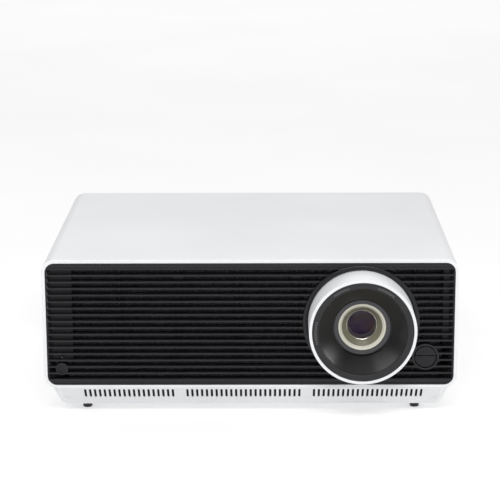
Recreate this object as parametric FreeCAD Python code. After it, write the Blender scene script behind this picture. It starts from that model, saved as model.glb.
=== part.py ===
import FreeCAD, Part
import math
import os

# Home projector, millimetres. +X is the viewer's right when facing the lens, the lens looks along -Y,
# +Z is up. The origin is at the middle of the overall width and depth, on the surface it stands on.

V = FreeCAD.Vector

# ---------------------------------------------------------------- casing
BODY_W = 370.0            # width over the white sleeve
BODY_D = 290.0            # depth of the casing, without the lens collar
SLEEVE_H = 118.6          # height of the sleeve, from its lip to the top
TRAY_H = 22.0             # height of the tapered tray under the sleeve
FOOT_H = 6.4              # gap that the feet leave under the tray
WALL = 3.0                # plastic wall of the sleeve and tray
CORNER_R = 11.5           # outer corner radius of the sleeve
EDGE_R = 0.8              # small rounding of the sleeve's front and rear rims
SPLIT_RISE = 0.8          # parting line above the lower corner arcs
TRAY_INSET = 6.5          # tray's side starts this far inside the sleeve's side
TRAY_SIDE_DEG = 14.0      # lean of the tray's sides
TRAY_FRONT_DEG = 44.0     # lean of the tray's front
TRAY_REAR_DEG = 20.0      # lean of the tray's rear
TRAY_EDGE_R = 8.0         # rounding of the tray's lower edges
LEDGE = 13.0              # depth of the ledge that carries the grille and the rear panel
PANEL_GAP = 0.3           # clearance round a panel set into the sleeve
REAR_RECESS = 1.0         # rear panel sits this far inside the rim
REAR_T = 3.0              # rear panel thickness

# ---------------------------------------------------------------- tray vents
VENT_PITCH = 4.385        # slot spacing
VENT_W = 2.1              # slot width
VENT_L = 14.5             # slot length along the slope
VENT_DROP = 2.0           # slot starts this far below the lip, along the slope
VENT_GROUPS = (19, 24, 23)
VENT_SKIP = 2             # slots left out between two groups
VENT_SHIFT = 2.4          # the row's middle lies this far right of the casing's middle
DIMPLE_X = 165.6          # shallow round dimple at each end of the tray's front
DIMPLE_R = 3.6
DIMPLE_DOWN = 15.0        # its centre below the lip, along the slope
DIMPLE_DEPTH = 0.3

# ---------------------------------------------------------------- front grille
GRILLE_T = 9.0            # depth of the louvre frame
SLAT_COUNT = 18
SLAT_PITCH = 6.02
SLAT_T = 1.5              # slat thickness
SLAT_FIRST_DROP = 5.0     # top slat's centre below the grille's top edge
BAND_RECESS = 0.8         # plain bands above and below the slats lie this far back
END_STRIP = 1.2           # plain strip at each end of the slats
SCOOP_L = 14.0            # length of the curved end of each groove
RIB_W = 1.6               # upright ribs behind the slats
RIB_T = 2.5
RIB_PITCH = 52.63
RIB_FIRST = 65.1          # leftmost rib from the grille's left edge
RIB_COUNT = 6
SNAP_W = 9.0              # snap bosses behind the slats
SNAP_H = 5.0
FILTER_T = 3.0            # dust filter behind the grille
FILTER_GAP = 0.6
FILTER_INSET = 3.5        # filter's edge inside the grille's edge
FILTER_CLEAR = 1.5        # filter round the pieces that pass through it

# ---------------------------------------------------------------- lens front
LENS_FROM_RIGHT = 86.1    # lens axis from the sleeve's right side
LENS_DROP = 57.6          # lens axis below the top of the sleeve
COLLAR_R = 47.3           # white lens collar, outside
COLLAR_WALL = 2.6
COLLAR_PROUD = 33.0       # collar in front of the grille
COLLAR_FLANGE_R = 53.5
COLLAR_FLANGE_T = 3.0
TRIM_BAND = 4.7           # black trim ring, beyond the collar
TRIM_PROUD = 0.3
BELL_RIM_W = 5.3          # flat rim of the bell
BELL_DEPTH = 15.0         # bell hole behind its rim
BELL_HOLE_R = 26.1
BELL_WALL = 1.6
BELL_RECESS = 0.4         # bell rim behind the collar's edge
BELL_SKIRT = 22.0         # length of the bell's outer skirt
FIT = 0.05                # running or press clearance on a radius

# ---------------------------------------------------------------- lens
BARREL_FRONT = 17.5       # barrel's front face behind the collar's edge
BARREL_FLANGE_R = 33.0
BARREL_FLANGE_T = 3.0
NOSE_R = 25.0             # turned nose that stands out of the flange
NOSE_STEP = 2.2
BARREL_R = 27.9
BARREL_L = 84.0
CELL_R = 21.3             # sliding inner cell
CELL_WALL = 2.2
CELL_L = 60.0
CONE_DEPTH = 9.0          # pale stepped cone in front of the glass
CONE_END_R = 13.8
CONE_STEP_R = 17.5
CONE_STEP = 0.9
FRONT_LENS_BULGE = 2.6
BAFFLE_L = 4.0            # dark cup between the first two elements
BAFFLE_LIP = 0.4          # its mouth inside the front glass's edge
BAFFLE_END_R = 9.6
ELEMENT_T = 4.0
REAR_ELEMENTS = (24.0, 12.0)   # rear elements ahead of the cell's rear end
FOCUS_TRAVEL = 1.5        # cell travel each way
FOCUS_TURN_DEG = 45.0     # focus ring turn each way
CAM_PIN_R = 1.5
FOCUS_MODULE = 0.8
FOCUS_TEETH = 80
FOCUS_PINION_TEETH = 18
FOCUS_GEAR_W = 6.0
FOCUS_MOTOR_DEG = 135.0   # motor's place round the lens, from +X towards +Z
FOCUS_MOTOR_R = 8.0

# ---------------------------------------------------------------- lens shift
CARRIAGE_T = 8.0
CARRIAGE_H = 60.0
CARRIAGE_LEFT = 50.0      # carriage edge left of the lens axis
ROD_R = 2.5
ROD_SPREAD = 44.0         # guide rods each side of the lens axis
LUG = 6.0                 # lug height on a guide rod
LUG_CLEAR = 8.0           # carriage to lug
FRAME_T = 4.0
FRAME_HOLE_R = 36.0
SHIFT_MODULE = 0.6
PINION_TEETH = 18
IDLER_TEETH = 45
RACK_TEETH = 14           # even, so that a gap lies at the rack's middle
GEAR_W = 5.0
BACKLASH = 0.06
PRESSURE_DEG = 20.0
DIAL_FROM_RIGHT = 28.5    # dial axis from the sleeve's right side
DIAL_DROP = 89.6          # dial axis below the top
DIAL_R = 9.5
DIAL_T = 4.0
DIAL_GROOVE = 0.8
DIAL_GAP = 0.9            # dark ring between dial and surround
DIAL_PROUD = 0.2          # dial in front of the grille
DIAL_RIM_R = 0.4
COIN_RISE = 1.2           # groove's middle above the dial's middle
COIN_DEPTH = 1.4
SURROUND_R = 12.0
SHAFT_R = 3.0
IDLER_SHAFT_R = 2.0

# ---------------------------------------------------------------- power button and status light
BUTTON_FROM_LEFT = 16.1
BUTTON_DROP = 100.4
BUTTON_R = 4.1
BUTTON_T = 3.0
BUTTON_TRAVEL = 1.0
BUTTON_GAP = 0.25
BEZEL_R = 5.5
BEZEL_PROUD = 0.4
STEM_R = 1.6
BUTTON_BACK = 0.3         # button's face behind the grille's face
BUTTON_DISH_R = 14.0      # hollow in the button's face
BUTTON_DISH = 0.45
BOARD_BEHIND = 1.4        # switch board behind the pressed stem
SWITCH = 6.0              # switch under the stem
SWITCH_H = 1.2
LIGHT_FROM_LEFT = 16.6
LIGHT_DROP = 89.8
LIGHT_R = 0.9
BUTTON_BOARD_RIGHT = 3.5  # switch board right of the button's axis
BUTTON_BOARD_OVER = 5.0   # and above the status light

# ---------------------------------------------------------------- feet, screws and mounts
FOOT_FROM_SIDE = 34.8     # feet from the sleeve's sides
FOOT_R = 4.25
FRONT_FOOT_SETBACK = 35.5
REAR_FOOT_SETBACK = 35.0
FOOT_THREAD_R = 3.0
FOOT_THREAD_L = 18.0
FOOT_SPIGOT_R = 2.0
FOOT_PAD_H = 3.1
FOOT_PAD_SKIN = 1.2       # rubber left under the pocket
FOOT_PAD_ROUND = 0.8
FOOT_FLANGE_GAP = 0.2
FOOT_BOSS_R = 6.5
THREAD_GAP = 0.06
SCREW_R = 1.5
SCREW_HEAD_R = 2.8
SCREW_HEAD_T = 2.2
COVER_BOSS_R = 4.5
COVER_BOSS_FROM_SIDE = 19.0
COVER_BITE = 16.0         # cover screw's length inside the cover's boss
COVER_BOSS_FRONT = 60.0   # cover bosses behind the front face
COVER_BOSS_REAR = 20.0    # and ahead of the rear face
INSERT_X = 220.0          # ceiling-mount hole spacing
INSERT_Y = 140.0
INSERT_R = 2.05
INSERT_OUT_R = 3.5
INSERT_L = 8.0
INSERT_BOSS_R = 6.5

# ---------------------------------------------------------------- chassis and insides
CHASSIS_RISE = 6.6        # chassis plate above the tray floor
CHASSIS_T = 1.2
CHASSIS_FROM_SIDE = 47.0
CHASSIS_FRONT = 20.5
POST_FRONT = 66.0         # front pair of chassis posts behind the front face
CHASSIS_REAR = 14.0
FAN = 92.0                # fan frame size
FAN_T = 25.0
FAN_BORE_R = 43.0
FAN_HUB_R = 17.0
FAN_TIP_GAP = 1.0
FAN_PIN_R = 1.5
FAN_LEFT = 18.0           # first fan from the casing's inner left wall
FAN_SPACE = 4.0
FAN_FRONT = 18.5          # fans behind the front face
FAN_RISE = 20.8           # fans above the chassis plate
BLADES = 7
SHEET = 1.2               # bracket sheet
ENGINE_W = 100.0
ENGINE_D = 86.0
ENGINE_H = 74.0
ENGINE_WALL = 3.0
ENGINE_LEG = 22.0         # right legs from the chassis plate's edge
ENGINE_GAP = 4.0          # engine behind the barrel's end
PRISM = 30.0
WHEEL_R = 24.0
WHEEL_T = 1.0
WHEEL_OFFSET = 20.0
WHEEL_MOTOR_R = 11.0
TUNNEL = 7.0
LASER_L = 44.0
LASER_D = 80.0
LASER_H = 60.0
SINK_L = 94.0
SINK_H = 96.0
FIN_T = 1.5
FIN_PITCH = 6.2
PIPE_R = 3.0
BOARD_T = 1.6
MAIN_BOARD_RISE = 48.8    # main board above the chassis plate
MAIN_BOARD_D = 88.0
PORT_CLEAR = 0.3


# ---------------------------------------------------------------- derived places
X_OUT = BODY_W / 2
X_IN = X_OUT - WALL
FRONT_Y = -(BODY_D - COLLAR_PROUD) / 2
REAR_Y = FRONT_Y + BODY_D
PAN_Z = FOOT_H
FOOT_X = X_OUT - FOOT_FROM_SIDE
CHASSIS_X = X_OUT - CHASSIS_FROM_SIDE
LIP_Z = PAN_Z + TRAY_H
TOP_Z = LIP_Z + SLEEVE_H
SPLIT_Z = LIP_Z + CORNER_R + SPLIT_RISE
INNER_R = CORNER_R - WALL
PANEL_X = X_IN - PANEL_GAP
PANEL_LOW = LIP_Z + WALL + PANEL_GAP
PANEL_TOP = TOP_Z - WALL - PANEL_GAP
PANEL_R = INNER_R - PANEL_GAP
GRILLE_BACK = FRONT_Y + GRILLE_T
LENS_X = X_OUT - LENS_FROM_RIGHT
LENS_Z = TOP_Z - LENS_DROP
COLLAR_Y = FRONT_Y - COLLAR_PROUD
COLLAR_IN = COLLAR_R - COLLAR_WALL
TRIM_R = COLLAR_R + TRIM_BAND
COLLAR_BACK = GRILLE_BACK + PANEL_GAP + COLLAR_FLANGE_T
BARREL_Y = COLLAR_Y + BARREL_FRONT
BARREL_END = BARREL_Y + BARREL_L
BARREL_IN = CELL_R + FIT
DIAL_X = X_OUT - DIAL_FROM_RIGHT
DIAL_Z = TOP_Z - DIAL_DROP
PINION_R = SHIFT_MODULE * PINION_TEETH / 2
IDLER_R = SHIFT_MODULE * IDLER_TEETH / 2
IDLER_X = DIAL_X
IDLER_Z = DIAL_Z + PINION_R + IDLER_R
GEAR_Y = COLLAR_BACK + 4.2
CARRIAGE_Y = GEAR_Y + GEAR_W + 15.0
FRAME_Y = CARRIAGE_Y + CARRIAGE_T + 6.0
RACK_X = IDLER_X - PINION_R
FOCUS_R = FOCUS_MODULE * FOCUS_TEETH / 2
FOCUS_PINION_R = FOCUS_MODULE * FOCUS_PINION_TEETH / 2
FOCUS_Y = GEAR_Y
BUTTON_X = -X_OUT + BUTTON_FROM_LEFT
BUTTON_Z = TOP_Z - BUTTON_DROP
LIGHT_X = -X_OUT + LIGHT_FROM_LEFT
LIGHT_Z = TOP_Z - LIGHT_DROP
FLOOR_Z = PAN_Z + WALL
PLATE_Z = FLOOR_Z + CHASSIS_RISE
BASE_Z = PLATE_Z + CHASSIS_T
MID_Y = (FRONT_Y + REAR_Y) / 2
FRONT_FOOT_Y = FRONT_Y + FRONT_FOOT_SETBACK
REAR_FOOT_Y = REAR_Y - REAR_FOOT_SETBACK
ENGINE_X = LENS_X - ENGINE_W / 2
ENGINE_Y = BARREL_END + ENGINE_GAP
ENGINE_Z = LENS_Z - ENGINE_H / 2
BOARD_Z = BASE_Z + MAIN_BOARD_RISE
PANEL_BACK = REAR_Y - REAR_RECESS
PANEL_IN = PANEL_BACK - REAR_T


# ---------------------------------------------------------------- small shape helpers
def box(x0, x1, y0, y1, z0, z1):
    return Part.makeBox(x1 - x0, y1 - y0, z1 - z0, V(x0, y0, z0))


def cyl_y(x, z, r, y0, y1):
    return Part.makeCylinder(r, y1 - y0, V(x, y0, z), V(0, 1, 0))


def cyl_x(y, z, r, x0, x1):
    return Part.makeCylinder(r, x1 - x0, V(x0, y, z), V(1, 0, 0))


def cyl_z(x, y, r, z0, z1):
    return Part.makeCylinder(r, z1 - z0, V(x, y, z0), V(0, 0, 1))


def tube_y(x, z, r_out, r_in, y0, y1):
    return cyl_y(x, z, r_out, y0, y1).cut(cyl_y(x, z, r_in, y0 - 1, y1 + 1))


def turned_y(profile, x, z):
    """Solid of revolution about the Y line through (x, z); profile is a list of (radius, y)."""
    points = [V(x + r, y, z) for r, y in profile]
    face = Part.Face(Part.makePolygon(points + points[:1]))
    return face.revolve(V(x, 0, z), V(0, 1, 0), 360)


def prism_x(outline, x0, x1):
    """Outline is a list of (y, z)."""
    points = [V(x0, y, z) for y, z in outline]
    return Part.Face(Part.makePolygon(points + points[:1])).extrude(V(x1 - x0, 0, 0))


def prism_y(outline, y0, y1):
    """Outline is a list of (x, z)."""
    points = [V(x, y0, z) for x, z in outline]
    return Part.Face(Part.makePolygon(points + points[:1])).extrude(V(0, y1 - y0, 0))


def rounded_y(x0, x1, z0, z1, r, y0, y1):
    """Bar along Y with a rounded rectangular section."""
    bar = box(x0, x1, y0, y1, z0, z1)
    edges = [e for e in bar.Edges if abs(e.tangentAt(e.FirstParameter).y) > 0.99]
    return bar.makeFillet(r, edges)


def fuse_all(shapes):
    joined = shapes[0].multiFuse(shapes[1:])
    return joined.removeSplitter()


def cut_all(shape, cutters):
    return shape.cut(Part.makeCompound(cutters))


def group(shapes):
    return Part.makeCompound(shapes)


def mirror_pair(x, places):
    """The same places at +x and -x."""
    return [(side * x, y) for side in (-1, 1) for y in places]


# ---------------------------------------------------------------- gears
def involute(angle):
    return math.tan(angle) - angle


def gear_y(module, teeth, x, z, y0, y1, bore_r, tooth_deg):
    """Spur gear about a Y line. One tooth points along tooth_deg, measured from +X towards +Z."""
    pitch_r = module * teeth / 2
    base_r = pitch_r * math.cos(math.radians(PRESSURE_DEG))
    tip_r = pitch_r + module
    root_r = pitch_r - 1.25 * module
    half = math.pi / (2 * teeth) - BACKLASH / (2 * pitch_r) + involute(math.radians(PRESSURE_DEG))
    flank_start = max(base_r, root_r)

    def point(radius, angle):
        return V(x + radius * math.cos(angle), y0, z + radius * math.sin(angle))

    def flank_angle(radius):
        return half - involute(math.acos(min(1.0, base_r / radius)))

    radii = [flank_start + (tip_r - flank_start) * step / 4 for step in range(5)]
    edges = []
    for tooth in range(teeth):
        middle = math.radians(tooth_deg) + 2 * math.pi * tooth / teeth
        following = middle + 2 * math.pi / teeth
        rising = [point(r, middle - flank_angle(r)) for r in radii]
        falling = [point(r, middle + flank_angle(r)) for r in reversed(radii)]
        root_a = point(root_r, middle - flank_angle(flank_start))
        root_b = point(root_r, middle + flank_angle(flank_start))
        root_c = point(root_r, following - flank_angle(flank_start))
        for flank in (rising, falling):
            curve = Part.BSplineCurve()
            curve.interpolate(flank)
            edges.append(curve.toShape())
        edges.append(Part.Arc(rising[-1], point(tip_r, middle), falling[0]).toShape())
        if root_r < base_r:
            edges.append(Part.LineSegment(root_a, rising[0]).toShape())
            edges.append(Part.LineSegment(falling[-1], root_b).toShape())
        edges.append(Part.Arc(root_b, point(root_r, (middle + following) / 2), root_c).toShape())
    outline = Part.Wire(Part.__sortEdges__(edges))
    blank = Part.Face(outline).extrude(V(0, y1 - y0, 0))
    return blank.cut(cyl_y(x, z, bore_r, y0 - 1, y1 + 1))


def rack_y(module, teeth, pitch_x, middle_z, back_x, y0, y1):
    """Rack whose teeth point along +X, with a gap at middle_z."""
    pitch = math.pi * module
    lean = math.tan(math.radians(PRESSURE_DEG))
    half = pitch / 4 - BACKLASH / 2
    low = middle_z - teeth * pitch / 2
    outline = [(back_x, low), (pitch_x - 1.25 * module, low)]
    for tooth in range(teeth):
        centre = low + (tooth + 0.5) * pitch
        outline.append((pitch_x - 1.25 * module, centre - half - 1.25 * module * lean))
        outline.append((pitch_x + module, centre - half + module * lean))
        outline.append((pitch_x + module, centre + half - module * lean))
        outline.append((pitch_x - 1.25 * module, centre + half + 1.25 * module * lean))
    outline.append((pitch_x - 1.25 * module, low + teeth * pitch))
    outline.append((back_x, low + teeth * pitch))
    return prism_y(outline, y0, y1)


# ---------------------------------------------------------------- casing pieces
def sleeve_ring():
    """The whole rounded sleeve before it is parted, with its rims eased."""
    outer = rounded_y(-X_OUT, X_OUT, LIP_Z, TOP_Z, CORNER_R, FRONT_Y, REAR_Y)
    rims = [e for e in outer.Edges if abs(e.BoundBox.YLength) < 1e-6]
    outer = outer.makeFillet(EDGE_R, rims)
    inner = rounded_y(-X_IN, X_IN, LIP_Z + WALL, TOP_Z - WALL, INNER_R, FRONT_Y - 1, REAR_Y + 1)
    return outer.cut(inner)


def boss_places():
    return mirror_pair(X_OUT - COVER_BOSS_FROM_SIDE, (FRONT_Y + COVER_BOSS_FRONT, REAR_Y - COVER_BOSS_REAR))


def upper_cover():
    shell = sleeve_ring().common(box(-X_OUT, X_OUT, FRONT_Y, REAR_Y, SPLIT_Z, TOP_Z))
    bosses = [cyl_z(x, y, COVER_BOSS_R, SPLIT_Z, TOP_Z - WALL) for x, y in boss_places()]
    gussets = [box(min(x, side * X_IN), max(x, side * X_IN), y - WALL / 2, y + WALL / 2,
                   SPLIT_Z + CORNER_R, TOP_Z - WALL)
               for x, y in boss_places() for side in ((1,) if x > 0 else (-1,))]
    cover = fuse_all([shell] + bosses + gussets)
    return cut_all(cover, [cyl_z(x, y, SCREW_R + FIT, SPLIT_Z - 1, SPLIT_Z + COVER_BITE + 4)
                           for x, y in boss_places()])


def pan_profile(inset, low, high):
    """The tray's tapered body, moved in by inset, between two heights."""
    def lean(degrees):
        return math.tan(math.radians(degrees)), inset / math.cos(math.radians(degrees))
    side_t, side_in = lean(TRAY_SIDE_DEG)
    front_t, front_in = lean(TRAY_FRONT_DEG)
    rear_t, rear_in = lean(TRAY_REAR_DEG)
    top_x = X_OUT - TRAY_INSET - side_in
    length = prism_x([(FRONT_Y + front_in + (LIP_Z - high) * front_t, high),
                      (FRONT_Y + front_in + (LIP_Z - low) * front_t, low),
                      (REAR_Y - rear_in - (LIP_Z - low) * rear_t, low),
                      (REAR_Y - rear_in - (LIP_Z - high) * rear_t, high)], -X_OUT, X_OUT)
    width = prism_y([(-top_x + (LIP_Z - high) * side_t, high), (-top_x + (LIP_Z - low) * side_t, low),
                     (top_x - (LIP_Z - low) * side_t, low), (top_x - (LIP_Z - high) * side_t, high)],
                    FRONT_Y - TRAY_H, REAR_Y + TRAY_H)
    return length.common(width)


def soften_pan(pan, low, radius):
    edges = [e for e in pan.Edges if e.BoundBox.ZMin < low + 1e-6]
    return pan.makeFillet(radius, edges)


def vent_slot(x):
    """One round-ended slot, square to the tray's sloping front."""
    straight = VENT_L - VENT_W
    start = -VENT_DROP - VENT_W / 2
    ends = [cyl_y(0, start - step, VENT_W / 2, -WALL, WALL * 2) for step in (0, straight)]
    bar = box(-VENT_W / 2, VENT_W / 2, -WALL, WALL * 2, start - straight, start)
    slot = ends[0].fuse([ends[1], bar])
    slot.rotate(V(0, 0, 0), V(1, 0, 0), TRAY_FRONT_DEG)
    slot.translate(V(x, FRONT_Y, LIP_Z))
    return slot


def dimple(x):
    """Blind round recess in the tray's sloping front."""
    disc = Part.makeCylinder(DIMPLE_R, WALL + DIMPLE_DEPTH, V(0, -WALL, -DIMPLE_DOWN), V(0, 1, 0))
    disc.rotate(V(0, 0, 0), V(1, 0, 0), TRAY_FRONT_DEG)
    disc.translate(V(x, FRONT_Y, LIP_Z))
    return disc


def vent_columns():
    steps = sum(VENT_GROUPS) - 1 + VENT_SKIP * (len(VENT_GROUPS) - 1)
    column = VENT_SHIFT - steps * VENT_PITCH / 2
    columns = []
    for count in VENT_GROUPS:
        columns += [column + index * VENT_PITCH for index in range(count)]
        column += (count + VENT_SKIP) * VENT_PITCH
    return columns


def foot_places():
    return mirror_pair(FOOT_X, (FRONT_FOOT_Y, REAR_FOOT_Y))


def insert_places():
    return mirror_pair(INSERT_X / 2, (MID_Y - INSERT_Y / 2, MID_Y + INSERT_Y / 2))


def post_places():
    return mirror_pair(CHASSIS_X - 8, (FRONT_Y + POST_FRONT, MID_Y, REAR_Y - CHASSIS_REAR - 8))


def base_tray():
    sleeve = sleeve_ring().common(box(-X_OUT, X_OUT, FRONT_Y, REAR_Y, LIP_Z, SPLIT_Z))
    pan = soften_pan(pan_profile(0, PAN_Z, LIP_Z + WALL / 2), PAN_Z, TRAY_EDGE_R)
    pan = pan.common(box(-X_OUT, X_OUT, FRONT_Y + EDGE_R, REAR_Y - EDGE_R, PAN_Z, LIP_Z + WALL / 2))
    hollow = soften_pan(pan_profile(WALL, FLOOR_Z, LIP_Z), FLOOR_Z, TRAY_EDGE_R - WALL)
    mouth_x = X_OUT - TRAY_INSET - WALL
    mouth = box(-mouth_x, mouth_x, FRONT_Y + LEDGE, REAR_Y - LEDGE, LIP_Z - 1, LIP_Z + WALL + 1)
    tray = sleeve.fuse(pan).cut(hollow.fuse(mouth))
    posts = [cyl_z(x, y, COVER_BOSS_R, FLOOR_Z - 1, SPLIT_Z - FIT) for x, y in boss_places()]
    posts += [cyl_z(x, y, FOOT_BOSS_R, FLOOR_Z - 1, FLOOR_Z + FOOT_THREAD_L) for x, y in foot_places()]
    posts += [cyl_z(x, y, INSERT_BOSS_R, FLOOR_Z - 1, PLATE_Z) for x, y in insert_places()]
    posts += [cyl_z(x, y, COVER_BOSS_R, FLOOR_Z - 1, PLATE_Z) for x, y in post_places()]
    tray = fuse_all([tray] + posts)
    holes = [vent_slot(x) for x in vent_columns()] + [dimple(x) for x in (-DIMPLE_X, DIMPLE_X)]
    for x, y in boss_places():
        holes.append(cyl_z(x, y, SCREW_R + 0.2, PAN_Z - 1, SPLIT_Z + 1))
        holes.append(cyl_z(x, y, SCREW_HEAD_R + 0.4, PAN_Z - 1, LIP_Z))
    for x, y in foot_places():
        holes.append(cyl_z(x, y, FOOT_THREAD_R + THREAD_GAP, PAN_Z - 1, FLOOR_Z + FOOT_THREAD_L + 1))
    for x, y in insert_places():
        holes.append(cyl_z(x, y, INSERT_OUT_R, PAN_Z - 1, PAN_Z + INSERT_L))
    for x, y in post_places():
        holes.append(cyl_z(x, y, SCREW_R + FIT, FLOOR_Z, PLATE_Z + 1))
    return cut_all(tray, holes)


# ---------------------------------------------------------------- grille
def slat_heights():
    first = PANEL_TOP - SLAT_FIRST_DROP
    return [first - index * SLAT_PITCH for index in range(SLAT_COUNT)]


def groove(low, high):
    """Gap between two slats: open in the middle, with a floor that sweeps forward at each end."""
    end = PANEL_X - END_STRIP
    depth = GRILLE_T + 1
    left = Part.makePolygon([V(-end + SCOOP_L, FRONT_Y + depth, low), V(end - SCOOP_L, FRONT_Y + depth, low)])
    right_scoop = Part.Arc(V(end - SCOOP_L, FRONT_Y + depth, low),
                           V(end - SCOOP_L * 0.35, FRONT_Y + depth * 0.55, low), V(end, FRONT_Y, low))
    left_scoop = Part.Arc(V(-end, FRONT_Y, low), V(-end + SCOOP_L * 0.35, FRONT_Y + depth * 0.55, low),
                          V(-end + SCOOP_L, FRONT_Y + depth, low))
    mouth = Part.makePolygon([V(end, FRONT_Y, low), V(end, FRONT_Y - 1, low),
                              V(-end, FRONT_Y - 1, low), V(-end, FRONT_Y, low)])
    outline = Part.Wire(left.Edges + [right_scoop.toShape()] + mouth.Edges + [left_scoop.toShape()])
    return Part.Face(outline).extrude(V(0, 0, high - low))


def rib_columns():
    first = -PANEL_X + RIB_FIRST
    return [first + RIB_PITCH * index for index in range(RIB_COUNT)]


def front_grille():
    plate = rounded_y(-PANEL_X, PANEL_X, PANEL_LOW, PANEL_TOP, PANEL_R, FRONT_Y, GRILLE_BACK)
    heights = slat_heights()
    gaps = [groove(lower + SLAT_T / 2, upper - SLAT_T / 2) for upper, lower in zip(heights, heights[1:])]
    band_x = PANEL_X - END_STRIP
    bands = [box(-band_x, band_x, FRONT_Y - 1, FRONT_Y + BAND_RECESS, heights[0] + SLAT_T / 2,
                 PANEL_TOP - END_STRIP),
             box(-band_x, band_x, FRONT_Y - 1, FRONT_Y + BAND_RECESS, PANEL_LOW + END_STRIP,
                 heights[-1] - SLAT_T / 2)]
    slats = cut_all(plate, gaps + bands)
    ribs = [box(x - RIB_W / 2, x + RIB_W / 2, GRILLE_BACK - RIB_T, GRILLE_BACK,
                heights[-1], heights[0]) for x in rib_columns()]
    snap_x = (rib_columns()[1], rib_columns()[3])
    snaps = [box(x - SNAP_W / 2, x + SNAP_W / 2, GRILLE_BACK - RIB_T, GRILLE_BACK,
                 z - SNAP_H / 2, z + SNAP_H / 2)
             for x in snap_x for z in (heights[1] - SLAT_PITCH / 2, heights[-2] + SLAT_PITCH / 2)]
    pad_x0, pad_x1 = BUTTON_X - BEZEL_R - WALL, BUTTON_X + BEZEL_R + WALL
    button_pad = box(pad_x0, pad_x1, GRILLE_BACK - RIB_T, GRILLE_BACK,
                     BUTTON_Z - BEZEL_R - WALL / 2, LIGHT_Z + LIGHT_R + WALL / 2)
    lens_rim = tube_y(LENS_X, LENS_Z, TRIM_R + PANEL_GAP + WALL, TRIM_R, GRILLE_BACK - RIB_T, GRILLE_BACK)
    dial_rim = tube_y(DIAL_X, DIAL_Z, SURROUND_R + WALL, SURROUND_R, GRILLE_BACK - RIB_T, GRILLE_BACK)
    edge = box(-PANEL_X, PANEL_X, FRONT_Y, GRILLE_BACK, PANEL_LOW, PANEL_TOP)
    stays = [lens_rim.common(edge), dial_rim.common(edge)]
    grille = fuse_all([slats] + ribs + snaps + [button_pad] + stays)
    holes = [cyl_y(LENS_X, LENS_Z, TRIM_R + FIT, FRONT_Y - 2, GRILLE_BACK + 2),
             cyl_y(DIAL_X, DIAL_Z, SURROUND_R + FIT, FRONT_Y - 2, GRILLE_BACK + 2),
             cyl_y(BUTTON_X, BUTTON_Z, BEZEL_R - 1 + FIT, FRONT_Y - 2, GRILLE_BACK + 2),
             cyl_y(BUTTON_X, BUTTON_Z, BEZEL_R + FIT, FRONT_Y - 2, FRONT_Y + 2),
             cyl_y(LIGHT_X, LIGHT_Z, LIGHT_R + FIT, FRONT_Y - 2, GRILLE_BACK + 2)]
    return cut_all(grille, holes)


def air_filter():
    """Open-cell dust filter behind the whole grille, cut round the lens collar, the dial and the button."""
    y0 = GRILLE_BACK + FILTER_GAP
    y1 = y0 + FILTER_T
    inset = FILTER_INSET
    sheet = box(-PANEL_X + inset, PANEL_X - inset, y0, y1, PANEL_LOW + inset, PANEL_TOP - inset)
    holes = [cyl_y(LENS_X, LENS_Z, COLLAR_FLANGE_R + FILTER_CLEAR, y0 - 1, y1 + 1),
             cyl_y(DIAL_X, DIAL_Z, SHAFT_R + FILTER_CLEAR, y0 - 1, y1 + 1),
             box(-X_OUT, BUTTON_X + BUTTON_BOARD_RIGHT + FILTER_CLEAR, y0 - 1, y1 + 1,
                 PANEL_LOW, LIGHT_Z + BUTTON_BOARD_OVER + FILTER_CLEAR)]
    return cut_all(sheet, holes)


# ---------------------------------------------------------------- lens front
def trim_ring():
    return tube_y(LENS_X, LENS_Z, TRIM_R, COLLAR_R + PANEL_GAP, FRONT_Y - TRIM_PROUD, GRILLE_BACK)


def collar_screw_places():
    radius = (COLLAR_R + PANEL_GAP + TRIM_R) / 2
    return [(LENS_X + radius * math.cos(math.radians(a)), LENS_Z + radius * math.sin(math.radians(a)))
            for a in (45, 135, 225, 315)]


def lens_collar():
    tube = tube_y(LENS_X, LENS_Z, COLLAR_R, COLLAR_IN, COLLAR_Y, COLLAR_BACK)
    front = [e for e in tube.Edges if abs(e.BoundBox.YMin - COLLAR_Y) < 1e-6 and e.BoundBox.YLength < 1e-6]
    tube = tube.makeFillet(EDGE_R / 2, front)
    flange = tube_y(LENS_X, LENS_Z, COLLAR_FLANGE_R, COLLAR_IN, COLLAR_BACK - COLLAR_FLANGE_T, COLLAR_BACK)
    return cut_all(tube.fuse(flange).removeSplitter(),
                   [cyl_y(x, z, 1.3, COLLAR_Y, COLLAR_BACK + 1) for x, z in collar_screw_places()])


def collar_screws():
    screws = [cyl_y(x, z, 2.1, COLLAR_BACK, COLLAR_BACK + 1.8).fuse(
        cyl_y(x, z, 1.1, COLLAR_BACK - COLLAR_FLANGE_T - PANEL_GAP, COLLAR_BACK)).removeSplitter()
        for x, z in collar_screw_places()]
    return group(screws)


def lens_bell():
    front = COLLAR_Y + BELL_RECESS
    out = COLLAR_IN - FIT
    inner = out - BELL_RIM_W
    slope = (inner - BELL_HOLE_R) / BELL_DEPTH
    back = BELL_WALL * math.sqrt(1 + slope * slope)
    return turned_y([(out, front), (inner, front), (inner - slope, front + 1.0),
                     (BELL_HOLE_R, front + BELL_DEPTH), (BELL_HOLE_R, front + BELL_DEPTH + BELL_WALL),
                     (BELL_HOLE_R + 1, front + BELL_DEPTH + BELL_WALL),
                     (out - BELL_WALL, front + 2 + back), (out - BELL_WALL, front + BELL_SKIRT),
                     (out, front + BELL_SKIRT)], LENS_X, LENS_Z)


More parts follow.
